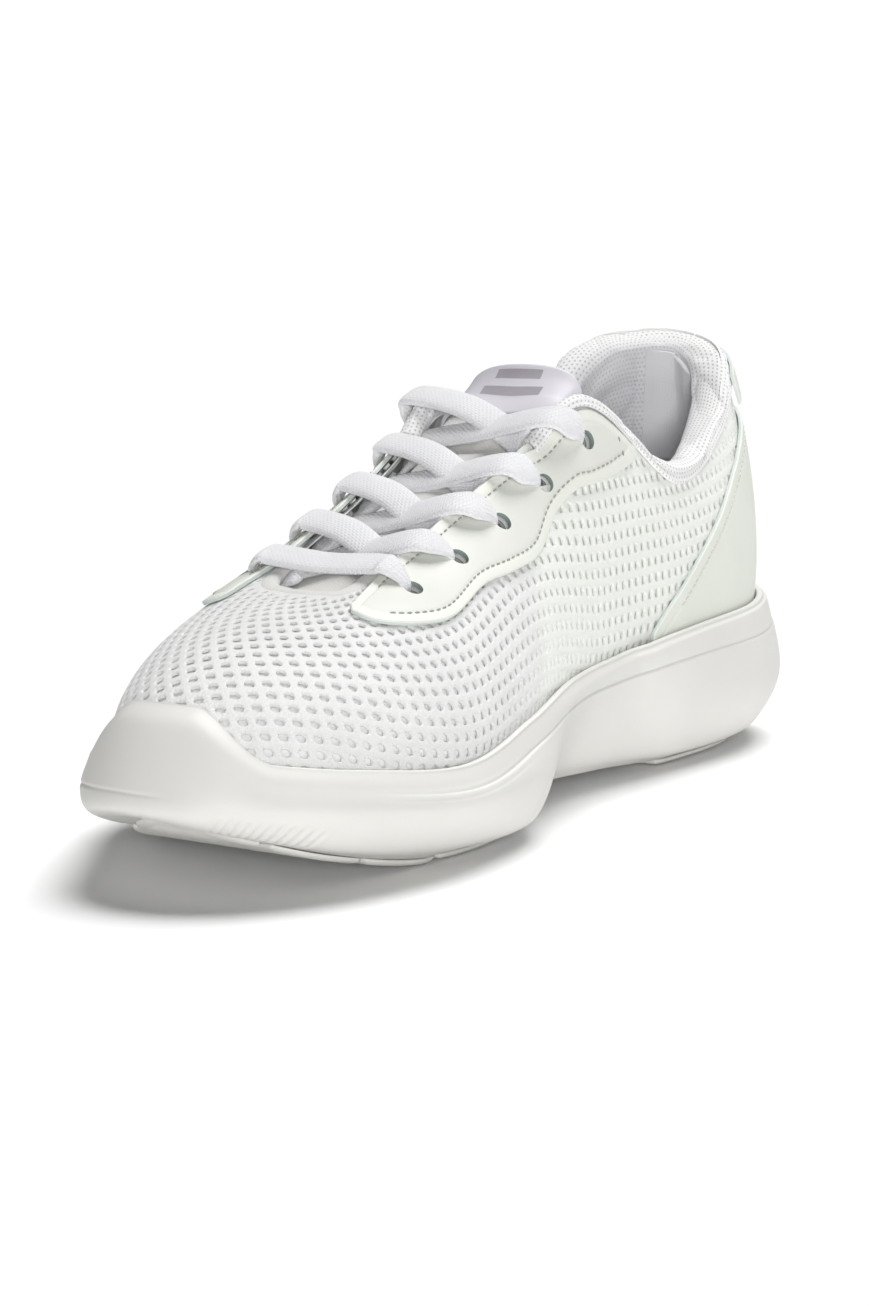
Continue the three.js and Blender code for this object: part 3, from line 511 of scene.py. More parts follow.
def fine_grain():
    """Pebbled skin with small pores, as a height."""
    tree, given, gives = shader_group("fine_grain", ["Size"], ["Height"])
    rate = calc(tree, "DIVIDE", 1.0, given["Size"])
    pebble = put(tree, "ShaderNodeTexVoronoi", {"feature": "SMOOTH_F1"}, Vector=given["Vector"], Scale=rate)
    dust = put(tree, "ShaderNodeTexNoise", Vector=given["Vector"], Scale=calc(tree, "MULTIPLY", rate, 2.7),
               Detail=3.0)
    height = calc(tree, "MULTIPLY_ADD", pebble.outputs[0], 0.6, calc(tree, "MULTIPLY", dust.outputs[0], 0.5))
    tree.links.new(height, gives["Height"])
    return tree


TONE, WEAVE, DOTS, GRAIN = soft_tone(), plain_weave(), knit_dots(), fine_grain()


def effect(tree, group, vector, **sizes):
    node = put(tree, "ShaderNodeGroup", {"node_tree": group}, Vector=vector)
    for label, value in sizes.items():
        node.inputs[label].default_value = value
    return node.outputs[0]


def blend_colour(tree, mask, a, b):
    node = put(tree, "ShaderNodeMix", {"data_type": "RGBA"}, _0=mask, _6=a, _7=b)
    return node.outputs[2]


def rgb(red, green, blue):
    """A colour as the eye reads it, 0 to 255, turned into linear light."""
    return (*(((c / 255 + 0.055) / 1.055) ** 2.4 for c in (red, green, blue)), 1.0)


def finish(name, colour, shade, rough, tone=0.03, on_cloth=True, weave=None, dots=None, grain=None,
           depth=0.0001, sheen=0.0, coat=0.0, hole=None, tint=None):
    """A surface finish: two close colours in soft clouds, and the relief that its cloth, grain or knit has.

    weave and grain are sizes in metres, dots is (pitch, opening share); tint is (attribute, colour)."""
    material = bpy.data.materials.new(name)
    material.use_nodes = True
    tree = material.node_tree
    tree.nodes.clear()
    where = put(tree, "ShaderNodeTexCoord")
    space = where.outputs["Object"]
    flat = where.outputs["UV"] if on_cloth else space
    mask = effect(tree, TONE, space, Size=tone)
    paint = blend_colour(tree, mask, rgb(*colour), rgb(*shade))
    if tint:
        attribute = put(tree, "ShaderNodeAttribute", {"attribute_name": tint[0]})
        paint = blend_colour(tree, attribute.outputs["Fac"], paint, rgb(*tint[1]))
    heights = []
    if weave:
        heights.append(effect(tree, WEAVE, flat, Pitch=weave))
    if grain:
        heights.append(effect(tree, GRAIN, space, Size=grain))
    if dots:
        openings = effect(tree, DOTS, flat, Pitch=dots[0], Opening=dots[1])
        paint = blend_colour(tree, openings, paint, rgb(*hole))
        heights.append(calc(tree, "SUBTRACT", 1.0, openings))
    surface = put(tree, "ShaderNodeBsdfPrincipled", Base_Color=paint)
    surface.inputs["Sheen Weight"].default_value = sheen
    surface.inputs["Coat Weight"].default_value = coat
    rough_map = put(tree, "ShaderNodeMapRange", Value=mask, To_Min=rough - 0.04, To_Max=rough + 0.05)
    tree.links.new(rough_map.outputs[0], surface.inputs["Roughness"])
    if heights:
        height = heights[0]
        for more in heights[1:]:
            height = calc(tree, "ADD", height, more)
        bump = put(tree, "ShaderNodeBump", Strength=0.6, Distance=depth, Height=height)
        tree.links.new(bump.outputs[0], surface.inputs["Normal"])
    out = put(tree, "ShaderNodeOutputMaterial")
    tree.links.new(surface.outputs[0], out.inputs[0])
    return material


FOAM = finish("moulded_foam", (226, 225, 221), (221, 220, 216), 0.5, 0.05, False, grain=0.0009, depth=0.00004)
RUBBER = finish("tread_rubber", (222, 221, 217), (216, 215, 211), 0.6, 0.03, False,
                grain=0.0006, depth=0.00005)
NET = finish("spacer_mesh", (232, 232, 231), (227, 227, 226), 0.78, 0.02,
             weave=0.00055, depth=0.00012, sheen=0.25, tint=("quarter", (239, 241, 236)))
# the backing is painted whiter than the net over it, as painted light that lifts the shade in the mesh holes
BACKING = finish("mesh_backing", (246, 246, 246), (242, 242, 242), 0.9, 0.02,
                 weave=0.0007, depth=0.0001, tint=("quarter", (234, 236, 230)))
STAY = finish("stay_leather", (224, 226, 219), (219, 221, 213), 0.62, 0.03, False,
              grain=0.0011, depth=0.00005, tint=("margin", (231, 233, 225)))
FOXING = finish("foxing_leather", (231, 234, 225), (226, 229, 220), 0.6, 0.03, False,
                grain=0.0011, depth=0.00005)
CUT_EDGE = finish("cut_edge", (210, 219, 215), (202, 212, 208), 0.7, 0.01, False, grain=0.0005, depth=0.00006)
# the eyelets' walls have the cut edges' own greenish colour, painted much darker than the other cut edges as
# painted shade inside the holes
SHADED_EYELET_EDGE = finish("shaded_eyelet_edge", (150, 163, 158), (128, 141, 137), 0.6, 0.01, False,
                     grain=0.0005, depth=0.00005)
BACKER = finish("backer_tape", (191, 196, 189), (180, 186, 178), 0.85, 0.02, False, grain=0.0008)
# the collar's knit is painted as a lit and a shaded copy: the tint on the outer attribute is painted light on
# the band and roll, and the plain colours inside the collar are painted shade
KNIT = finish("lining_knit", (218, 218, 221), (210, 210, 214), 0.85, 0.03, dots=(0.0015, 0.3),
              hole=(198, 198, 201), depth=0.0003, sheen=0.3, tint=("outer", (238, 238, 237)))
HEEL_CLOTH = finish("heel_grip_cloth", (224, 224, 227), (217, 217, 220), 0.8, 0.03,
                    weave=0.0005, depth=0.00008, sheen=0.3)
TONGUE_CLOTH = finish("tongue_cloth", (224, 223, 219), (214, 213, 210), 0.85, 0.012,
                      weave=0.0006, depth=0.0001, sheen=0.3)
LABEL = finish("label_film", (217, 214, 221), (210, 207, 215), 0.5, 0.02, weave=0.0004, depth=0.00003)
PRINT = finish("label_print", (172, 166, 173), (164, 158, 166), 0.45, 0.01, weave=0.0004, depth=0.00003)
LACE = finish("lace_braid", (237, 237, 240), (231, 231, 234), 0.75, 0.02,
              weave=0.0007, depth=0.00022, sheen=0.3)
# the grey of the stays' thread is painted shade, for the needle holes and the pressed groove that the thread
# lies in
SHADED_THREAD = finish("shaded_stitch_thread", (164, 168, 158), (150, 154, 146), 0.7, 0.01, False, grain=0.0003)
WHITE_THREAD = finish("white_thread", (214, 216, 208), (204, 207, 199), 0.7, 0.01, False, grain=0.0003)
INSOLE_CLOTH = finish("insole_cloth", (204, 204, 208), (196, 196, 200), 0.9, 0.02,
                      weave=0.0008, depth=0.0001, sheen=0.4)
INSOLE_FOAM = finish("insole_foam", (219, 219, 216), (210, 210, 208), 0.9, 0.02, False,
                     grain=0.0012, depth=0.0002)
PADDING = finish("padding_foam", (238, 231, 205), (230, 222, 194), 0.95, 0.02, False,
                 grain=0.001, depth=0.0003)
BOARD = finish("strobel_cloth", (214, 208, 190), (203, 197, 180), 0.95, 0.02, False,
               grain=0.001, depth=0.0001)
STIFF = finish("stiffener_board", (196, 192, 182), (186, 182, 172), 0.8, 0.02, False,
               grain=0.001, depth=0.0001)
AGLET = finish("aglet_film", (240, 240, 240), (232, 232, 232), 0.25, 0.01, False,
               grain=0.002, depth=0.00001, coat=0.3)

CARRIED_OVER = {
    "strobel_board": BOARD, "toe_puff": STIFF, "heel_counter": STIFF, "vamp_lining": TONGUE_CLOTH,
    "eyestay_backer_medial": BACKER, "eyestay_backer_lateral": BACKER, "collar_foam": PADDING,
    "aglet_medial": AGLET, "aglet_lateral": AGLET,
}


def paint_carried_over():
    for node, material in CARRIED_OVER.items():
        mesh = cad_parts[node].data
        mesh.materials.clear()
        mesh.materials.append(material)


# ---- Outlines of the overlays, by distance from the toe in stations -------------------------
stay_low = through((2.0, 0.84), (2.3, 0.75), (2.7, 0.68), (3.1, 0.65), (3.7, 0.69), (4.2, 0.665),
                   (4.65, 0.655), (5.1, 0.73), (5.5, 0.725), (5.8, 0.7), (6.1, 0.72), (6.35, 0.8),
                   (6.5, 0.89))
stay_high = through((2.0, 0.87), (2.3, 0.93), (2.8, 0.985), (4.9, 0.985), (5.35, 0.945), (6.1, 0.945),
                    (6.5, 0.925))
foxing_high = through((6.5, 0.17), (6.8, 0.31), (7.25, 0.52), (7.65, 0.64), (8.05, 0.72), (8.7, 0.77),
                      (10, 0.78))
EYELETS = [(5.85, 0.84), (5.1, 0.84), (4.35, 0.835), (3.6, 0.83), (2.85, 0.825)]


def across(s):
    """The station facing s on the other side of the shoe."""
    return ROUND - s


def level(height):
    """An overlay's straight edge."""
    return lambda toe: height + 0 * toe


SIDES = {"medial": lambda s: s, "lateral": across}
UNDER_MESH = -(MESH_THICK + GAP)
UNDER_BACKER = UNDER_MESH - BACKER_EASE - BACKER_THICK - GAP
UNDER_COUNTER = UNDER_MESH - COUNTER_THICK - GAP
MESH_EDGE = 0.965


# ---- Sole --------------------------------------------------------------------------------
SOLE_ROWS = 118
PAD_STEPS = 90
TREAD_PITCH = 0.115  # ribs under the tread, in stations
RIB_PITCH = 0.085  # toe ribs, in stations
CREST_ROWS = 6
LIP_AT = 19.0  # moulded lines down from the rim and up from the bottom edge, mm
GROOVE_AT = (5.6, 8.4)


def sole_stations():
    """Stations of the sole's columns, the same on both sides and closer together along the toe's ribs."""
    even = np.linspace(0, HEEL, 1001)
    crowd = 1 + 2.4 * ease(0.4, 0.7, even) * ease(2.1, 1.8, even)
    total = np.concatenate([[0], np.cumsum((crowd[1:] + crowd[:-1]) / 2)])
    half = np.interp(np.linspace(0, total[-1], 301), total, even)
    return np.concatenate([half, ROUND - half[-2:0:-1]])


def sole_wall(s):
    """The sole's outer wall from its bottom edge to the rim, one evenly spaced column for each place."""
    rim = rim_height(s)
    rings = [wall_point(s, k) for k in range(3)]
    rings.append(skin(s, rim * 0.7, recess(s) + RIM_THICK * 1.25))
    rings.append(skin(s, rim, recess(s) + RIM_THICK * 0.62))
    wall = open_line(rings)(np.linspace(0, len(rings) - 1, 161))
    run = np.concatenate([np.zeros((1, len(s))),
                          np.cumsum(np.linalg.norm(np.diff(wall, axis=0), axis=-1), 0)])
    even = np.linspace(0, 1, SOLE_ROWS)
    columns = np.empty((len(s), SOLE_ROWS, 3))
    for i in range(len(s)):
        for axis in range(3):
            columns[i, :, axis] = np.interp(even * run[-1, i], run[:, i], wall[:, i, axis])
    return columns, run[-1][:, None] * (1 - even)[None, :], run[-1][:, None] * even[None, :]


def lattice_normal(lattice, loop):
    """Normals of a lattice by differences, pointing the way that the stations and rows turn."""
    if loop:
        along = np.roll(lattice, -1, 0) - np.roll(lattice, 1, 0)
    else:
        along = np.gradient(lattice, axis=0)
    return unit(np.cross(along, np.gradient(lattice, axis=1)))


def add_midsole():
    s = sole_stations()
    wall, below, above = sole_wall(s)
    toe = from_toe(s)[:, None]
    medial = (np.sin(s * 2 * np.pi / ROUND) > 0)[:, None]
    groove_at = mix(*GROOVE_AT, ease(4.5, 8.5, toe))
    held = ease(1.9, 3.6, toe)
    groove = 0.5 * np.exp(-((below - groove_at) / 0.32) ** 2) * held
    # the band above the groove sets back a little from the wall below it
    step = 0.25 * ease(0.5, -0.5, below - groove_at) * held
    second = 0.2 * np.exp(-((below - groove_at - 1.9) / 0.35) ** 2)
    second = second * ease(2.1, 2.6, toe) * ease(4.0, 3.4, toe) * medial
    lip = 0.3 * np.exp(-((above - LIP_AT) / 0.4) ** 2)
    lip = lip * np.where(medial, ease(0.5, 0.1, toe), ease(1.9, 1.2, toe))
    # fine ribs run up the arch side of the toe and lean with the wall
    curl = toe - 0.016 * above
    ribs = 0.4 * (0.5 - 0.5 * np.cos(2 * np.pi * curl / RIB_PITCH))
    ribs = ribs * ease(0.5, 0.7, curl) * ease(1.6, 1.45, curl) * ease(17, 13, above) * medial
    wall = wall - lattice_normal(wall, True) * (groove + step + second + lip + ribs)[..., None]
    rim = rim_height(s)
    inner = recess(s)
    crest = []
    for k in range(1, CREST_ROWS + 1):
        turn = math.pi * k / (CREST_ROWS + 1)
        reach = mix(inner, inner + RIM_THICK * 0.62, (1 + math.cos(turn)) / 2)
        crest.append(skin(s, rim, reach) + UP * 0.55 * math.sin(turn))
    inside = [skin(s, rim * share, inner) for share in (1, 0.75, 0.5, 0.25, 0)]
    inside.append(beside_foot(s, -2, -0.4))
    columns = np.concatenate([wall, np.stack(crest + inside, 1)], 1)
    rows = columns.shape[1]
    points, faces = [columns.reshape(-1, 3)], [grid_faces(len(s), rows, True)]
    count = len(s) * rows
    for row, flip in ((0, False), (rows - 1, True)):
        more, cap = across_cap(columns[:, row], row, rows, count)
        points.append(more)
        faces.append(cap[:, ::-1] if flip else cap)
        count += len(more)
    points = np.concatenate(points)
    faces = outside_out(points, np.concatenate(faces))
    # the caps close to a triangle at both ends, so a corner met twice is dropped
    faces = [tuple(dict.fromkeys(face)) for face in faces.tolist()]
    belongs(make_piece("foam_midsole", points, faces, [FOAM]), "shoe", "foam_sole", "midsole")


def across_cap(ring, row, rows, start, spans=8):
    """Faces that close a ring of the sole from one side to the other, with points in between."""
    count = len(ring)
    half = count // 2
    left = np.arange(1, half)
    right = count - left
    share = np.arange(1, spans)[None, :, None] / spans
    inner = mix(ring[left][:, None], ring[right][:, None], share)
    number = np.empty((half + 1, spans + 1), int)
    number[0] = row
    number[half] = half * rows + row
    number[1:half, 0] = left * rows + row
    number[1:half, -1] = right * rows + row
    number[1:half, 1:-1] = start + np.arange((half - 1) * (spans - 1)).reshape(half - 1, spans - 1)
    a, b = number[:-1], number[1:]
    cap = np.stack([a[:, :-1], a[:, 1:], b[:, 1:], b[:, :-1]], -1).reshape(-1, 4)
    return inner.reshape(-1, 3), cap


# each tread pad: its stations from front to back, its shares of the width, and its node
PADS = {
    "toe": (0.3, 1.34, 0.02, 0.98, "outsole_toe"),
    "forefoot_front": (1.42, 2.32, 0.0, 1.0, "outsole_forefoot_front"),
    "forefoot_middle": (2.38, 3.12, 0.0, 1.0, "outsole_forefoot_middle"),
    "forefoot_rear": (3.18, 4.0, 0.0, 1.0, "outsole_forefoot_rear"),
    "heel_medial": (6.85, 8.42, 0.0, 0.48, "outsole_heel_medial"),
    "heel_lateral": (6.85, 8.42, 0.52, 1.0, "outsole_heel_lateral"),
    "heel_rear": (8.5, 9.75, 0.0, 1.0, "outsole_heel_rear"),
}


def add_pads():
    for name, (start, end, left, right, node) in PADS.items():
        a, b = np.linspace(0, 1, PAD_STEPS)[:, None], np.linspace(0, 1, PAD_STEPS)[None, :]
        s, w = mix(start, end, a) + 0 * b, mix(left, right, b) + 0 * a
        top = mix(wall_point(s, 0), wall_point(across(s), 0), w[..., None])
        # the lobes swell past the foam's edge between the notches
        lobe = 1.2 * np.sin(np.pi * a) ** 0.5
        outer = outward(s) * (lobe * ease(0.06, 0.0, w) * (left == 0))[..., None]
        outer += outward(across(s)) * (lobe * ease(0.94, 1.0, w) * (right == 1))[..., None]
        top = top + outer
        edge = edge_distance(lengths(top))
        ribs = 0.5 * (0.5 + 0.5 * np.cos(2 * np.pi * s / TREAD_PITCH)) * ease(2.0, 5.0, edge)
        sunk = GAP * 0.3
        drop = sunk + (PAD_THICK + GAP - sunk) * (0.35 + 0.65 * rounded_rim(edge, 3.5)) - ribs
        points, faces, _ = shell(top - UP * sunk, top - UP * drop[..., None])
        belongs(make_piece(f"tread_{name}", points, faces, [RUBBER]), "shoe", "tread_rubber", node)


def cupped_plate(name, low, high, material):
    """A plate that lies on the board inside the feather line, with its rim cupped up."""
    s, w = np.linspace(0.12, 9.88, 150)[:, None], np.linspace(0, 1, 44)[None, :]
    sheets = []
    for height in (high, low):
        near, far = (beside_foot(q, -PLATE_INSET, height) for q in (s, across(s)))
        edge = np.minimum(w, 1 - w) * np.linalg.norm(near - far, axis=-1)
        sheets.append(mix(near, far, w[..., None]) + UP * (0.5 * ease(9, 0, edge))[..., None])
    points, faces, _ = shell(*sheets)
    return make_piece(name, points, faces, [material], uv=both_sides(lengths(sheets[0])), sharp=50)


def add_insole():
    foam_low = STROBEL_THICK + GAP
    cover_low = foam_low + INSOLE_THICK + GAP
    foam = cupped_plate("footbed_foam", foam_low, foam_low + INSOLE_THICK, INSOLE_FOAM)
    belongs(foam, "insole", "insole_foam", "insole_foam")
    cover = cupped_plate("footbed_cover", cover_low, cover_low + COVER_THICK, INSOLE_CLOTH)
    belongs(cover, "insole", "insole_cloth", "insole_cover")


# ---- Spacer mesh -------------------------------------------------------------------------
def flat_cut():
    """Lays the side of the last out flat, as the mesh is cut: its lattice and each point's place in mm."""
    s = np.linspace(-10.25, 10.25, 124)
    v = np.linspace(0.0, 1.06, 20)
    lattice = side(s[:, None], v[None, :])
    mesh = bpy.data.meshes.new("flat_cut")
    mesh.from_pydata(lattice.reshape(-1, 3).tolist(), [], grid_faces(len(s), len(v)).tolist())
    mesh.uv_layers.new(name="flat")
    cloth = bpy.data.objects.new("flat_cut", mesh)
    bpy.context.scene.collection.objects.link(cloth)
    bpy.context.view_layer.objects.active = cloth
    bpy.ops.object.mode_set(mode="EDIT")
    bpy.ops.mesh.select_all(action="SELECT")
    bpy.ops.uv.unwrap(method="MINIMUM_STRETCH", margin=0.0)
    bpy.ops.object.mode_set(mode="OBJECT")
    uv = np.zeros(len(mesh.loops) * 2)
    mesh.uv_layers[0].data.foreach_get("uv", uv)
    corner = np.zeros(len(mesh.loops), int)
    mesh.loops.foreach_get("vertex_index", corner)
    flat = np.zeros((len(mesh.vertices), 2))
    flat[corner] = uv.reshape(-1, 2)
    bpy.data.objects.remove(cloth)
    flat = flat.reshape(len(s), len(v), 2)
    middle = len(s) // 2
    toe_way = flat[middle - 1:middle + 1, 2].mean(0) - flat[middle - 1:middle + 1, -3].mean(0)
    line = np.linalg.norm(np.diff(side(0.0, v[2:-2]), axis=0), axis=1).sum()
    scale = line / np.linalg.norm(toe_way)
    turn = -math.atan2(toe_way[1], toe_way[0])
    spin = np.array([[math.cos(turn), -math.sin(turn)], [math.sin(turn), math.cos(turn)]])
    flat = (flat - flat[middle, -3]) @ spin.T * scale
    # the grid is laid turned on the vamp and pulled straight along the arch side's quarter
    pulled = ease(3.0, 5.8, s)[:, None]
    still = flat[np.abs(s - 4.4).argmin(), 8]
    medial = np.sign(flat[np.abs(s - 3.5).argmin(), 8, 1] - flat[np.abs(s + 3.5).argmin(), 8, 1])
    angle = -medial * math.radians(VAMP_TURN) * (1 - pulled)
    x, y = flat[..., 0] - still[0], flat[..., 1] - still[1]
    flat = np.stack([(x * np.cos(angle) - y * np.sin(angle)) * mix(1, 0.9, pulled),
                     (x * np.sin(angle) + y * np.cos(angle)) * mix(1, 1.08, pulled)], -1)
    return s, v, flat


def grid_points_in(a, b, c):
    """Whole-numbered points inside a flat triangle, each with its shares of the corners b and c."""
    first = np.ceil(np.minimum.reduce([a, b, c]) - 1e-9).astype(int)
    last = np.floor(np.maximum.reduce([a, b, c]) + 1e-9).astype(int)
    area = (b[0] - a[0]) * (c[1] - a[1]) - (b[1] - a[1]) * (c[0] - a[0])
    for column in range(first[0], last[0] + 1):
        for row in range(first[1], last[1] + 1):
            p = np.array([column, row]) - a
            q = (p[0] * (c[1] - a[1]) - p[1] * (c[0] - a[0])) / area
            r = ((b[0] - a[0]) * p[1] - (b[1] - a[1]) * p[0]) / area
            if q >= -1e-6 and r >= -1e-6 and q + r <= 1 + 1e-6:
                yield column, row, q, r


def mesh_grid():
    """The flat cut's square grid, brought back onto the last: (station, height) of each found grid point."""
    s, v, flat = flat_cut()
    flat = flat / np.array(HOLE_PITCH)
    low = np.floor(flat.reshape(-1, 2).min(0)).astype(int)
    size = np.ceil(flat.reshape(-1, 2).max(0)).astype(int) - low + 1
    found = np.full((*size, 2), np.nan)
    for i in range(len(s) - 1):
        for j in range(len(v) - 1):
            ring = [(i, j), (i + 1, j), (i + 1, j + 1), (i, j + 1)]
            for three in ((0, 1, 2), (0, 2, 3)):
                corners = [ring[k] for k in three]
                places = np.array([(s[m], v[n]) for m, n in corners])
                for column, row, q, r in grid_points_in(*(flat[corner] for corner in corners)):
                    shares = np.array([1 - q - r, q, r])
                    found[column - low[0], row - low[1]] = shares @ places
    return found


def add_spacer_mesh():
    found = mesh_grid()
    columns, rows = found.shape[:2]
    cells = grid_faces(columns, rows)
    place = found.reshape(-1, 2)
    cells = cells[~np.isnan(place[cells]).any((1, 2))]
    s, v = place[cells][..., 0], place[cells][..., 1]
    inside = (np.abs(s) < HEEL) & (v < 1)
    solid = ~inside.all(1)
    # cells that lie wholly behind the sole's rim, a stay or the foxing are left out
    toe = np.abs(s)
    hidden = v < rim_height(s) - 0.07
    hidden |= (toe > 2.25) & (toe < 6.3) & (v > stay_low(toe) + 0.05) & (v < stay_high(toe) - 0.02)
    hidden |= (toe > 6.7) & (v < foxing_high(toe) - 0.05)
    kept = inside.any(1) & ~hidden.all(1)
    cells, solid = cells[kept], solid[kept]
    place = np.stack([np.clip(place[:, 0], -HEEL, HEEL), np.minimum(place[:, 1], 1)], -1)
    grid = np.stack(np.divmod(np.arange(columns * rows), rows), -1) * np.array(HOLE_PITCH)
    middle = place[cells][..., 0].mean(1)
    parts = {"vamp": np.abs(middle) < VAMP_END, "medial": middle >= VAMP_END, "lateral": middle <= -VAMP_END}
    tree = perforation_tree()
    for name, chosen in parts.items():
        used, faces = np.unique(cells[chosen], return_inverse=True)
        faces = faces.reshape(-1, 4)
        points = side(place[used, 0], place[used, 1])
        p = points[faces]
        facing = np.cross(p[:, 1] - p[:, 0], p[:, 3] - p[:, 0])
        turned = (facing * normal(place[used, 0], place[used, 1])[faces].mean(1)).sum(1) < 0
        faces[turned] = faces[turned][:, ::-1]
        piece = make_piece(f"spacer_mesh_{name}", points, faces, [NET], uv=grid[used],
                           attributes={"quarter": film_reach(points)})
        set_attribute(piece.data, "solid", solid[chosen], "FACE")
        grown(piece, tree, Hole=HOLE_SHARE, Depth=HOLE_DEPTH * MM, Finish=NET)
        belongs(piece, "shoe", "air_mesh", "upper_mesh")


def film_reach(points):
    """1 behind the midfoot, where a film under the mesh changes its tone, with a slanting front edge."""
    return ease(158, 146, points[..., 0] + 0.35 * (points[..., 2] - 66))


def add_backing():
    """A light cloth just under the spacer mesh, which shows through the holes; it is painted whiter than the
    net, as painted light that lifts the shade in the holes.
    """
    s = np.arange(400)[:, None] * ROUND / 400
    v = (1 - 0.04 * ease(4.9, 5.3, from_toe(s))) * np.linspace(0, 1, 60)[None, :]
    depth = MESH_THICK - 0.4
    outer, inner = skin(s, v, -depth), skin(s, v, -depth - 0.3)
    points, faces, _ = shell(outer, inner, True)
    piece = make_piece("mesh_backing", points, faces, [BACKING], uv=both_sides(lengths(outer)),
                       attributes={"quarter": both_sides(film_reach(side(s, v)))})
    punch(piece, [(at(s), v) for at in SIDES.values() for s, v in EYELETS])
    belongs(piece, "shoe", "backing_knit")


# ---- Leather overlays ---------------------------------------------------------------------
EDGE_ROUND = 0.45
STITCH_DEPTH = GAP + OVERLAY_THICK - 0.1
PUNCH_SIDES = 32
PUNCH_REACH = 5.0


def edge_steps(count, close):
    """Shares from 0 to 1 with extra steps near both ends."""
    return np.concatenate([[0, close * 0.35, close], np.linspace(close * 2.2, 1 - close * 2.2, count),
                           [1 - close, 1 - close * 0.35, 1]])


def overlay_lattice(start, end, low, high, base, thick, steps, rows, stitches=()):
    """Top and underside of a cut sheet glued on the last, pressed in along its stitch lines."""
    s = mix(start, end, edge_steps(steps, 0.002))[:, None]
    toe = from_toe(s)
    v = mix(low(toe), high(toe), edge_steps(rows, 0.012)[None, :])
    s = s * np.ones_like(v)
    soft = rounded_rim(edge_distance(lengths(side(s, v))), EDGE_ROUND)
    depth = base + thick * (1 - 0.3 * (1 - soft))
    per_v = np.linalg.norm(side(s, v + 0.005) - side(s, v - 0.005), axis=-1) / 0.01
    margin = np.zeros_like(v)
    for line, sign in stitches:
        off = (v - line(s)) * per_v
        depth = depth - 0.22 * np.exp(-((off / 0.55) ** 2))
        margin = np.maximum(margin, ease(-0.3, 0.6, -off * sign))
    return skin(s, v, depth), skin(s, v, base), margin


def stitch_height(edge, sign):
    """Height of a stitch line that runs beside an edge of an overlay."""
    def at(s):
        toe = from_toe(s)
        v = edge(toe)
        per_v = np.linalg.norm(side(s, v + 0.01) - side(s, v - 0.01), axis=-1) / 0.02
        per_s = np.linalg.norm(side(s + 0.02, v) - side(s - 0.02, v), axis=-1) / 0.04
        slope = (edge(toe + 0.02) - edge(toe - 0.02)) / 0.04 * per_v / per_s
        return v + sign * STITCH_MARGIN * np.sqrt(1 + slope**2) / per_v
    return at


def add_stitches(name, lines, depth, thread, slot, tree):
    """Stitches along several lines of (stations, heights)."""
    points, spans, facing = [], [], []
    for s, v in lines:
        first = len(points)
        points += skin(s, v, depth).tolist()
        facing += normal(s, v).tolist()
        spans += [(first + k, first + k + 1) for k in range(len(s) - 1)]
    mesh = bpy.data.meshes.new(name)
    mesh.from_pydata(placed(points).tolist(), spans, [])
    set_attribute(mesh, "facing", facing)
    piece = linked(name, mesh)
    grown(piece, tree, Pitch=STITCH_PITCH * MM, Length=1.75 * MM, Thread=0.55 * MM, Finish=thread)
    return belongs(piece, "shoe", slot)


def punch(piece, places):
    """Punches the eyelet holes through a piece; the cut takes the eyelet edge's finish, which is painted dark
    as the shade inside the holes.
    """
    turn = np.linspace(0, 2 * np.pi, PUNCH_SIDES + 1)[:-1]
    next_side = (np.arange(PUNCH_SIDES) + 1) % PUNCH_SIDES
    walls = [(k, k + PUNCH_SIDES, n + PUNCH_SIDES, n) for k, n in enumerate(next_side.tolist())]
    ends = [tuple(range(PUNCH_SIDES)), tuple(range(2 * PUNCH_SIDES - 1, PUNCH_SIDES - 1, -1))]
    group = bpy.data.collections.new("punches")
    bpy.context.scene.collection.children.link(group)
    cutters = []
    for s, v in places:
        centre, axis = placed(side(s, v)), normal(s, v)
        wide = unit(np.cross(axis, UP))
        tall = np.cross(axis, wide)
        ring = (np.cos(turn)[:, None] * wide + np.sin(turn)[:, None] * tall) * EYELET_DIAMETER / 2 * MM
        reach = axis * PUNCH_REACH * MM
        points = np.concatenate([centre + ring + reach, centre + ring - reach])
        mesh = bpy.data.meshes.new("punch")
        mesh.from_pydata(points.tolist(), [], walls + ends)
        mesh.materials.append(SHADED_EYELET_EDGE)
        cutter = bpy.data.objects.new("punch", mesh)
        group.objects.link(cutter)
        cutters.append(cutter)
        cut = piece.modifiers.new("punch", "BOOLEAN")
        cut.operation, cut.solver, cut.object = "DIFFERENCE", "EXACT", cutter
        cut.material_mode = "TRANSFER"
    keep_result(piece)
    for cutter in cutters:
        bpy.data.objects.remove(cutter)
    bpy.data.collections.remove(group)
    piece.data.set_sharp_from_angle(angle=math.radians(40))


def add_eyestays(stitches):
    lower, upper = stitch_height(stay_low, 1), stitch_height(stay_high, -1)
    for name, at in SIDES.items():
        top, bottom, margin = overlay_lattice(at(2), at(6.5), stay_low, stay_high, GAP, OVERLAY_THICK,
                                              230, 44, ((lower, 1), (upper, -1)))
        points, faces, edge = shell(top, bottom)
        piece = make_piece(f"leather_stay_{name}", points, faces, [STAY, CUT_EDGE], slots=edge,
                           attributes={"margin": np.concatenate([margin.ravel(), 0 * margin.ravel()])})
        punch(piece, [(at(s), v) for s, v in EYELETS])
        belongs(piece, "shoe", "stay_leather", f"eyestay_{name}")
        run = at(np.linspace(2.5, 6.3, 160))
        beside_throat = run[from_toe(run) < 5.6]
        tip = np.full(24, run[-1])
        lines = [(run, lower(run)), (beside_throat, upper(beside_throat)),
                 (tip, np.linspace(lower(tip)[0], upper(tip)[0], len(tip)))]
        # these stitches take the grey thread, whose colour is painted shade
        add_stitches(f"stay_stitches_{name}", lines, STITCH_DEPTH, SHADED_THREAD, "stay_leather", stitches)


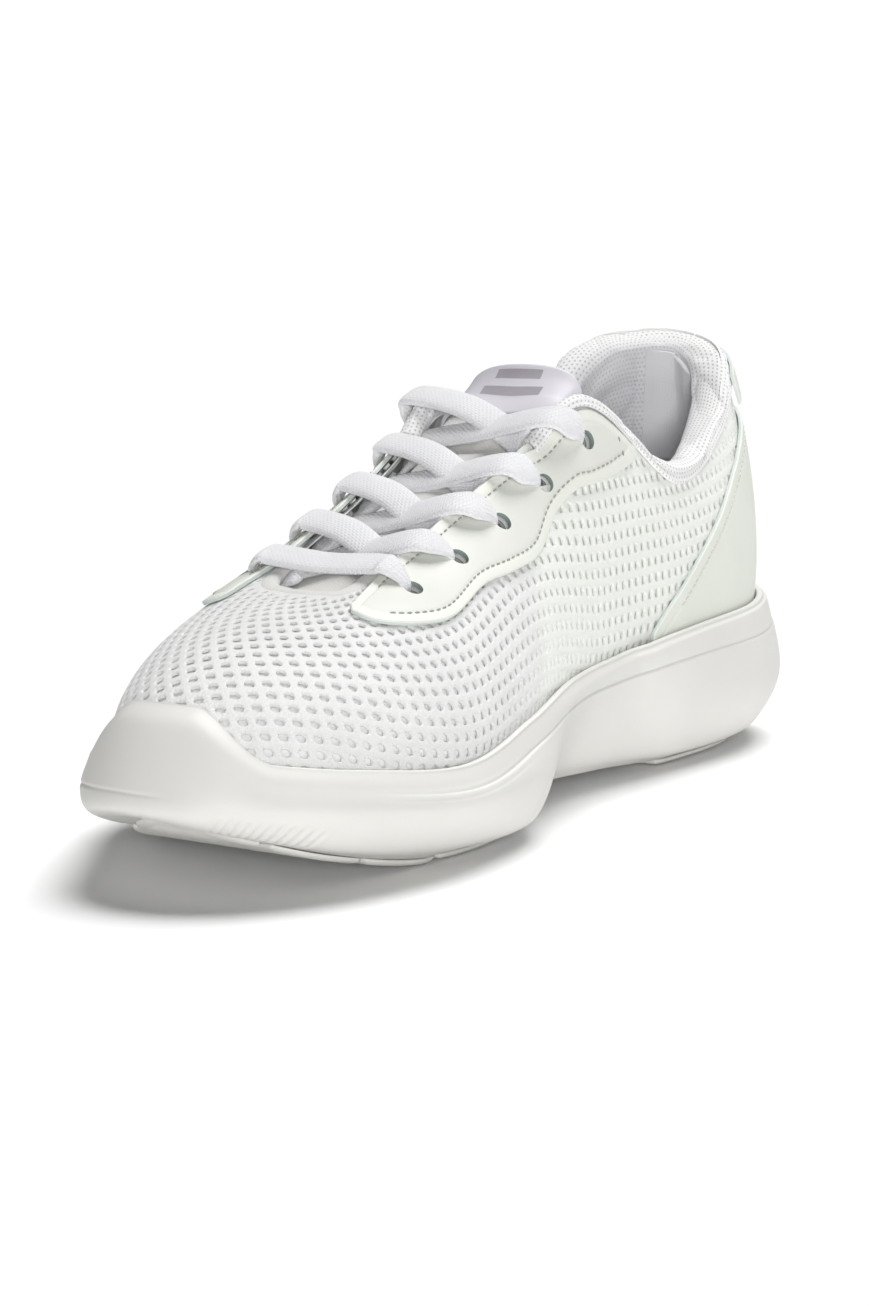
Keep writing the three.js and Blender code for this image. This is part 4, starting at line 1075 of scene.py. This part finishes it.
def add_heel_leather(name, start, low, high, base, thick, steps, rows, line=(), nodes=()):
    """A cut leather sheet round the heel, from the same station on both sides."""
    top, bottom, _ = overlay_lattice(start, across(start), low, high, base, thick, steps, rows, line)
    points, faces, edge = shell(top, bottom)
    belongs(make_piece(name, points, faces, [FOXING, CUT_EDGE], slots=edge, sharp=45),
            "shoe", "stay_leather", *nodes)


def add_heel_overlays(stitches):
    upper = stitch_height(foxing_high, -1)
    add_heel_leather("leather_foxing", 6.5, level(0.045), foxing_high, GAP, OVERLAY_THICK, 260, 60,
                     ((upper, -1),), ["heel_foxing"])
    run = np.linspace(6.9, across(6.9), 300)
    add_stitches("foxing_stitches", [(run, upper(run))], STITCH_DEPTH, WHITE_THREAD, "stay_leather", stitches)
    add_heel_leather("leather_heel_tab", 8.75, level(0.85), level(MESH_EDGE), GAP + LINING_THICK + GAP,
                     TAB_THICK, 70, 24, nodes=["heel_tab"])
    # a narrow tape closes the butt seam at the back, from the foxing to the tab
    add_heel_leather("back_seam_tape", 9.72, level(0.76), level(0.87), 0.05, 0.6, 20, 16)


# ---- Collar ------------------------------------------------------------------------------
COLLAR_FROM = 5.2
ROLL_ROWS = 13
INSIDE_ROWS = 46
BAND = ((0, 0.3), (0.06, 0.8), (0.2, 1), (0.5, 1.05), (0.8, 1.05), (1, 1))  # share of its width, swell
CLOTH_FRAMES = 20
CLOTH_PRESSURE = 4.0
CLOTH_GROWTH = -0.02


def swelled(surface, held, most):
    """A cover's outer side after its cloth has swelled over the padding, sewn down where held, in mm."""
    faces = grid_faces(*surface.shape[:2])
    mesh = bpy.data.meshes.new("cloth")
    mesh.from_pydata((surface.reshape(-1, 3) * MM).tolist(), [], faces.tolist())
    middle = len(faces) // 2
    out = lattice_normal(surface, False).reshape(-1, 3)[faces[middle][0]]
    if np.array(mesh.polygons[middle].normal) @ out < 0:
        mesh.flip_normals()
    cover = linked("cloth", mesh)
    group = cover.vertex_groups.new(name="held")
    group.add(np.flatnonzero(held).tolist(), 1.0, "REPLACE")
    cloth = cover.modifiers.new("cloth", "CLOTH")
    settings = cloth.settings
    settings.vertex_group_mass = "held"
    settings.use_pressure = True
    settings.uniform_pressure_force = CLOTH_PRESSURE
    settings.effector_weights.gravity = 0.0
    settings.shrink_min = CLOTH_GROWTH
    cloth.point_cache.frame_end = CLOTH_FRAMES
    for step in range(CLOTH_FRAMES):
        bpy.context.scene.frame_set(step + 1)
    after = cover.evaluated_get(bpy.context.evaluated_depsgraph_get()).data
    moved = np.empty(len(after.vertices) * 3)
    after.vertices.foreach_get("co", moved)
    move = moved.reshape(surface.shape) / MM - surface
    size = np.linalg.norm(move, axis=-1, keepdims=True)
    bpy.data.objects.remove(cover)
    bpy.context.scene.frame_set(1)
    return surface + move * np.minimum(1, most / np.maximum(size, 1e-6))


def collar_depth(s, v):
    swell = COLLAR_PAD * ease(0.42, 0.72, v) - 0.25 * COLLAR_PAD * ease(0.85, 1, v)
    return mix(-UNDER_BACKER, -UNDER_COUNTER + GAP + swell, ease(6.2, 6.9, from_toe(s)))


def band_low(s):
    return 0.957 - 0.045 * ease(6.35, 7, from_toe(s)) - 0.02 * ease(5.9, 5.3, from_toe(s))


def lining_low(s):
    return mix(0.93, 0.1, ease(6.2, 6.6, from_toe(s)))


def lining_lattice(s, lift):
    """Columns of the collar's cover: up the outside, over the roll, down the inside."""
    s = np.asarray(s, float)
    over_stay = (OVERLAY_THICK + 0.1) * ease(6.5, 6.2, from_toe(s))
    front = GAP + over_stay * 0.55
    rows = [skin(s, mix(band_low(s), MESH_EDGE, k), front + lift * swell) for k, swell in BAND]
    edge, out = side(s, MESH_EDGE), normal(s, MESH_EDGE)
    rise = unit(side(s, 1.0) - side(s, 0.96))
    depth = collar_depth(s, MESH_EDGE)
    middle = (front - depth) / 2
    reach = (front + depth) / 2 + lift
    for k in range(1, ROLL_ROWS + 1):
        turn = math.pi * k / (ROLL_ROWS + 1)
        rows.append(edge + out * (middle + reach * math.cos(turn))[:, None]
                    + rise * ((COLLAR_ROLL + lift) * math.sin(turn)))
    for k in np.linspace(0, 1, INSIDE_ROWS):
        v = mix(MESH_EDGE, lining_low(s), k)
        rows.append(skin(s, v, -collar_depth(s, v) - lift))
    return np.stack(rows, 1)


def add_collar():
    s = np.linspace(COLLAR_FROM, across(COLLAR_FROM), 300)
    outer, inner = lining_lattice(s, LINING_THICK), lining_lattice(s, 0.0)
    row = np.arange(outer.shape[1])
    # sewn down along its band, its inner hem and round the heel grip
    held = (row < len(BAND)) | (row >= len(row) - 3) | ((np.abs(s[:, None] - HEEL) < 1.2) & (row > 16))
    held[[0, 1, -2, -1]] = True
    outer = swelled(outer, held, 1.3)
    points, faces, _ = shell(outer, inner)
    # the outer attribute paints the band and the roll's outer half lighter, as painted light, and leaves the
    # inside of the collar darker, as painted shade
    piece = make_piece("collar_cover", points, faces, [KNIT], uv=both_sides(lengths(outer)),
                       attributes={"outer": np.tile(ease(20, 11, row), 2 * len(s))})
    belongs(piece, "shoe", "lining_knit", "collar_lining")


def add_heel_grip():
    """A smooth cloth panel inside the heel, which stands a little off the collar's cover."""
    s = np.linspace(9, across(9), 60)[:, None]
    v = mix(MESH_EDGE, 0.55, np.linspace(0, 1, 80))[None, :]
    base = collar_depth(s, v) + LINING_THICK + 0.1
    size = lengths(skin(s, v, -base))
    edge = np.minimum(size[..., 0], size[-1:, :, 0] - size[..., 0])
    crown = 1.5 * (1 - (1 - np.minimum(edge / 5, 1)) ** 2)
    points, faces, _ = shell(skin(s, v, -base - crown), skin(s, v, -base + 0.3))
    piece = make_piece("heel_grip_panel", points, faces, [HEEL_CLOTH], uv=both_sides(size))
    belongs(piece, "shoe", "heel_grip_cloth", "heel_lining")


def add_throat_binding():
    """Turned edge of the lining round the front of the throat."""
    s = np.linspace(-2.7, 2.7, 160)
    centre = skin(s, 1.01, -MESH_THICK / 2)
    out = normal(s, 0.99)
    along = unit(np.gradient(centre, axis=0))
    wide = np.cross(along, out)
    turn = np.linspace(0, 2 * np.pi, 17)[:-1]
    ring = centre[:, None] + out[:, None] * (np.sin(turn) * 1.15)[None, :, None] \
        + wide[:, None] * (np.cos(turn) * 2.6)[None, :, None]
    tube_piece("throat_binding", ring, [TONGUE_CLOTH], "shoe", "backing_knit")


def tube_piece(name, rings, materials, body, slot, *nodes):
    """Closed tube from rings (steps, sides, 3), with a UV map that runs along and round it."""
    steps, sides = rings.shape[:2]
    closed = np.concatenate([rings, rings[:, :1]], 1)
    uv = lengths(closed)
    i, j = np.arange(steps - 1)[:, None], np.arange(sides)[None, :]
    a, b = i * sides + j, i * sides + (j + 1) % sides
    quads = np.stack([a, b, b + sides, a + sides], -1).reshape(-1, 4)
    points = rings.reshape(-1, 3)
    ends = [tuple(range(sides - 1, -1, -1)), tuple(range((steps - 1) * sides, steps * sides))]
    faces = [tuple(face) for face in quads.tolist()] + ends
    if not face_out(points, quads):
        faces = [face[::-1] for face in faces]
    piece = make_piece(name, points, faces, materials)
    layer = piece.data.uv_layers.new(name="cloth")
    wide = {k: uv[k // sides, k % sides] for k in range(steps * sides)}
    for polygon in piece.data.polygons:
        numbers = [piece.data.loops[k].vertex_index for k in polygon.loop_indices]
        wrap = any(n % sides == 0 for n in numbers) and any(n % sides == sides - 1 for n in numbers)
        for k, n in zip(polygon.loop_indices, numbers):
            place = uv[n // sides, sides] if wrap and n % sides == 0 else wide[n]
            layer.data[k].uv = (place[0] * MM, place[1] * MM)
    return belongs(piece, body, slot, *nodes)


# ---- Tongue ------------------------------------------------------------------------------
TONGUE_STATIONS = [2.45, 3.1, 3.8, 4.5, 5.2, 5.9]
# past the last's stations: forward, up, share of the width, droop of the edges
TONGUE_ROOT = (16, -5.5, 0.9, 0)
TONGUE_TIP = [(-4.5, 3, 1.0, 5), (-9, 7, 0.99, 11), (-12, 11, 0.96, 16)]
PATCH_BARS = ((9, 9.5), (14, 7), (19, 4.5))  # height on the patch and half length


def tongue_rails():
    def section(s):
        near = [skin(s, v, -TONGUE_DEPTH) for v in (0.76, 0.88, 1)]
        far = [skin(across(s), v, -TONGUE_DEPTH) for v in (1, 0.88, 0.76)]
        drop = 3.4 + 1.8 * (1 - ease(2.4, 3.2, s))
        return np.array([*near, mix(side(s, 1), side(across(s), 1), 0.5) - UP * drop, *far])

    def moved(points, forward, up, narrow, droop):
        fall = droop * np.abs(np.linspace(-1, 1, len(points))) ** 1.4
        return points * [1, narrow, 1] + [forward, 0, up] - UP * fall[:, None]
    sections = [section(s) for s in TONGUE_STATIONS]
    return np.array([moved(sections[0], *TONGUE_ROOT), *sections,
                     *(moved(sections[-1], *tip) for tip in TONGUE_TIP)])


RAILS = tongue_rails()


def tongue_lattice(a, w):
    """Tongue surface at lengths a (0 root, 1 tip) and widths w (0 medial, 1 lateral), with its normals."""
    rows = open_line(RAILS)(np.asarray(a) * (len(RAILS) - 1))
    lattice = open_line(np.swapaxes(rows, 0, 1))(np.asarray(w) * 6)
    lattice = np.swapaxes(lattice, 0, 1)
    return lattice, lattice_normal(lattice, False)


def rounded_tongue(a, w):
    """The tongue's surface with its free end cut to a round outline."""
    corner = 0.16 * np.abs(2 * w - 1) ** 3
    fine = np.linspace(0, 1, 241)
    shape, out = tongue_lattice(fine, w)
    index = np.asarray(a)[:, None] * (1 - corner * ease(0.55, 1, np.asarray(a))[:, None]) * 240
    low = np.minimum(index.astype(int), 239)
    share = (index - low)[..., None]
    column = np.arange(len(w))[None, :]
    return (mix(shape[low, column], shape[low + 1, column], share),
            unit(mix(out[low, column], out[low + 1, column], share)))


def pillow(a, w, depth, thick, rim):
    """Top and underside of a padded tongue layer whose edges are rolled."""
    surface, out = rounded_tongue(a, w)
    size = lengths(surface)
    edge = edge_distance(size, root=False)
    soft = rounded_rim(edge, rim)[..., None]
    middle = surface - out * (depth + thick / 2)
    return middle + out * thick / 2 * soft, middle - out * thick / 2 * soft, size, edge


def add_tongue():
    a, w = np.linspace(0, 1, 130), np.linspace(0, 1, 90)
    top, bottom, size, edge = pillow(a, w, 0.0, TONGUE_THICK, 3.2)
    out = lattice_normal(top, False)
    along, wide = size[..., 0], size[..., 1]
    creases = np.sin(along / 4.1 + 0.9 * np.sin(wide / 9)) + 0.6 * np.sin(along / 2.3 + wide / 7 + 1.3)
    free = ease(2, 8, edge) * ease(0.66, 0.58, a)[:, None]
    top = top + out * (0.28 * creases * free)[..., None]
    top = swelled(top, edge < 2.5, 0.7)
    points, faces, _ = shell(top, bottom)
    piece = make_piece("tongue_cover", points, faces, [TONGUE_CLOTH], uv=both_sides(size))
    belongs(piece, "tongue", "tongue_cloth", "tongue_outer", "tongue_lining")

    top, bottom, _, _ = pillow(np.linspace(0.01, 0.97, 60), np.linspace(0.03, 0.97, 40), 1.3, 3.4, 1.6)
    points, faces, _ = shell(top, bottom)
    piece = make_piece("tongue_padding", points, faces, [PADDING])
    belongs(piece, "tongue", "padding_foam", "tongue_foam")


def add_tongue_patch():
    """A raised film patch near the tongue's free end, printed with plain bars of graduated length."""
    steps = 120
    surface, out = rounded_tongue(np.linspace(0.64, 0.99, steps), np.linspace(0.08, 0.92, steps))
    size = lengths(surface)
    lift = 0.75 * rounded_rim(edge_distance(size), 0.8)
    points, faces, _ = shell(surface + out * (0.05 + lift)[..., None], surface - out * 0.3)
    up = size[:, steps // 2, 0][:, None]
    beside = size[steps // 2, :, 1] - size[steps // 2, -1, 1] / 2
    bars = np.any([(np.abs(up - at) < 1.4) & (np.abs(beside) < half) for at, half in PATCH_BARS], axis=0)
    slots = np.zeros(len(faces), int)
    on_top = (steps - 1) ** 2
    slots[:on_top] = bars.ravel()[faces[:on_top] % steps**2].all(1)
    piece = make_piece("tongue_patch", points, faces, [LABEL, PRINT], slots=slots, uv=both_sides(size))
    belongs(piece, "tongue", "label_film", "tongue_label")


# ---- Lace --------------------------------------------------------------------------------
ON_STAY = GAP + OVERLAY_THICK + LACE_THICK / 2 + 0.15
UNDER_STAY = UNDER_BACKER - LACE_THICK / 2 - 0.2
IN_HOLE = (3.8, 1.5)
TURNING = (5.4, 1.7)
FLAT = (LACE_WIDTH, LACE_THICK)
LEAN = 0.15  # stations that a strand moves between its eyelet and the throat edge, under the stay
LEAN_OUT = 0.4  # and on top of the medial stay
LACE_SIDES = 26
LACE_STEPS = 9


def knot(point, form, sideways):
    return (*point, *form, *sideways)


def through_eyelet(at, s, v, leave, sideways):
    """Knots up through an eyelet's toe side; on top the lace lies flat and sets off to where it leaves."""
    middle, out = side(at(s), v), normal(at(s), v)
    to_throat = unit(side(at(s), v + 0.03) - middle)
    off = leave - middle
    off = unit(off - out * (off @ out))
    flat = np.cross(out, off)
    flat = flat if flat @ sideways > 0 else -flat
    # depth, shift from the hole's middle, and the lace's width and thickness there
    below = [(UNDER_STAY, 3.6, TURNING), (UNDER_STAY + 1.1, 1.2, IN_HOLE)]
    above = [(0, 1.5, IN_HOLE), (ON_STAY - 1.9, 2.0, IN_HOLE), (ON_STAY - 0.6, 4.0, TURNING),
             (ON_STAY + 0.2, 8.2, FLAT)]
    return [knot(middle + out * depth + to_throat * shift, form, sideways) for depth, shift, form in below] \
        + [knot(middle + out * depth + off * shift, form, flat) for depth, shift, form in above]


def leaving(at, row):
    """Where the strand from this row's eyelet leaves the stay at the throat's edge."""
    lean = LEAN_OUT if at is SIDES["medial"] else LEAN
    s = EYELETS[row][0] - (0.25 if row == len(EYELETS) - 1 else lean)
    return skin(at(s), 1.0, ON_STAY + 0.1)


def strand(start, end, row, overlie, sideways):
    """Knots over the tongue, from one stay's edge down behind the other; overlie is the strand on top."""
    s = EYELETS[row + 1][0]
    leave = leaving(start, row)
    arrive = skin(end(s + LEAN), 1.0, UNDER_STAY - 0.2)
    middle = mix(leave, arrive, 0.5) + UP * (3.2 if overlie else -0.3)
    behind = skin(end(s + LEAN / 2), 0.93, UNDER_STAY - 0.2)
    return [knot(point, FLAT, sideways) for point in (leave, middle, arrive, behind)]


def tucked_end(at, sideways):
    """Knots of the lace's end, which is tucked down beside the tongue."""
    return [knot(skin(at(s), v, UNDER_STAY + more), FLAT if v < 0.75 else TURNING, sideways)
            for s, v, more in ((5.5, 0.56, -1), (5.58, 0.64, -0.5), (5.7, 0.72, -0.2), (5.8, 0.79, 0))]


def lace_knots():
    sides = [SIDES["medial"], SIDES["lateral"]]
    towards = unit(np.array([-1, 0, 0.45]))

    def half(first):
        knots = tucked_end(sides[first], towards)
        for row, (s, v) in enumerate(EYELETS):
            here = sides[(first + row) % 2]
            passage = through_eyelet(here, s, v, leaving(here, row), towards)
            knots += passage[1:] if row == 0 else passage
            if row < len(EYELETS) - 1:
                there = sides[(first + row + 1) % 2]
                slant = side(here(s), 1) - side(there(EYELETS[row + 1][0]), 1)
                wide = unit(np.cross(slant, UP))
                wide = wide if wide[0] < 0 else -wide
                wide[2] = 0.5
                knots += strand(here, there, row, here is sides[1], unit(wide))
        return knots
    last = len(EYELETS) - 1
    s = EYELETS[last][0] - 0.35
    middle = mix(side(s, 1), side(across(s), 1), 0.5) + UP * 2.8
    bar = [knot(point, FLAT, towards) for point in (leaving(sides[0], last), middle, leaving(sides[1], last))]
    return np.array(half(0) + bar + half(1)[::-1])


def add_lace():
    knots = lace_knots()
    path = open_line(knots)(np.linspace(0, len(knots) - 1, (len(knots) - 1) * LACE_STEPS + 1))
    centre, form, sideways = path[:, :3], path[:, 3:5], path[:, 5:]
    along = unit(np.gradient(centre, axis=0))
    wide = unit(sideways - along * (sideways * along).sum(1, keepdims=True))
    flat = np.cross(along, wide)
    turn = 2 * np.pi * (np.arange(LACE_SIDES) + 0.5) / LACE_SIDES
    x = np.sign(np.cos(turn)) * np.abs(np.cos(turn)) ** 0.85
    y = np.sign(np.sin(turn)) * np.abs(np.sin(turn)) ** 0.85
    rings = centre[:, None] + wide[:, None] * (form[:, :1] / 2 * x)[..., None] \
        + flat[:, None] * (form[:, 1:] / 2 * y)[..., None]
    tube_piece("woven_lace", rings, [LACE], "shoe", "lace_braid", "lace")


# ---- Studio ------------------------------------------------------------------------------
def add_sky_lamp(name, towards, spread, power):
    light = bpy.data.lights.new(name, "SUN")
    light.angle = math.radians(spread)
    light.energy = power
    lamp = linked(name, light)
    lamp.rotation_euler = Vector(towards).to_track_quat("Z", "Y").to_euler()


def add_floor():
    reach = 40.0
    corners = [(-reach, -reach, 0), (reach, -reach, 0), (reach, reach, 0), (-reach, reach, 0)]
    mesh = bpy.data.meshes.new("studio_floor")
    mesh.from_pydata(corners, [], [(0, 1, 2, 3)])
    floor = linked("studio_floor", mesh)
    floor.location.z = -0.0002
    paper = bpy.data.materials.new("studio_paper")
    paper.use_nodes = True
    tree = paper.node_tree
    tree.nodes.clear()
    diffuse = put(tree, "ShaderNodeBsdfPrincipled", Base_Color=(0.97, 0.97, 0.97, 1), Roughness=1.0)
    out = put(tree, "ShaderNodeOutputMaterial")
    tree.links.new(diffuse.outputs[0], out.inputs[0])
    mesh.materials.append(paper)


def add_camera():
    azimuth, elevation, distance = math.radians(121.56), math.radians(9.66), 1.1904
    target = placed((157.52, 5.96, 41.35))
    back = np.array([math.sin(azimuth) * math.cos(elevation), -math.cos(azimuth) * math.cos(elevation),
                     math.sin(elevation)])
    lens = bpy.data.cameras.new("view")
    lens.sensor_fit = "VERTICAL"
    lens.sensor_height = 36.0
    lens.lens = 128.48
    lens.clip_end = 200
    camera = linked("view", lens)
    camera.location = Vector(target + back * distance)
    camera.rotation_euler = Vector(-back).to_track_quat("-Z", "Y").to_euler()
    bpy.context.scene.camera = camera


def add_studio():
    scene = bpy.context.scene
    scene.view_settings.view_transform = "Standard"
    world = bpy.data.worlds.new("studio_white")
    world.use_nodes = True
    sky = world.node_tree.nodes["Background"]
    sky.inputs[0].default_value = (1, 1, 1, 1)
    sky.inputs[1].default_value = 0.06
    scene.world = world
    add_floor()
    add_sky_lamp("behind", (-0.45, 0.0, 1.0), 40, 3.3)
    add_sky_lamp("front", (0.8, 0.58, 0.16), 20, 1.8)
    add_camera()


add_studio()
paint_carried_over()
add_midsole()
add_pads()
add_insole()
add_spacer_mesh()
add_backing()
STITCHES = stitch_tree()
add_eyestays(STITCHES)
add_heel_overlays(STITCHES)
add_collar()
add_heel_grip()
add_throat_binding()
add_tongue()
add_tongue_patch()
add_lace()
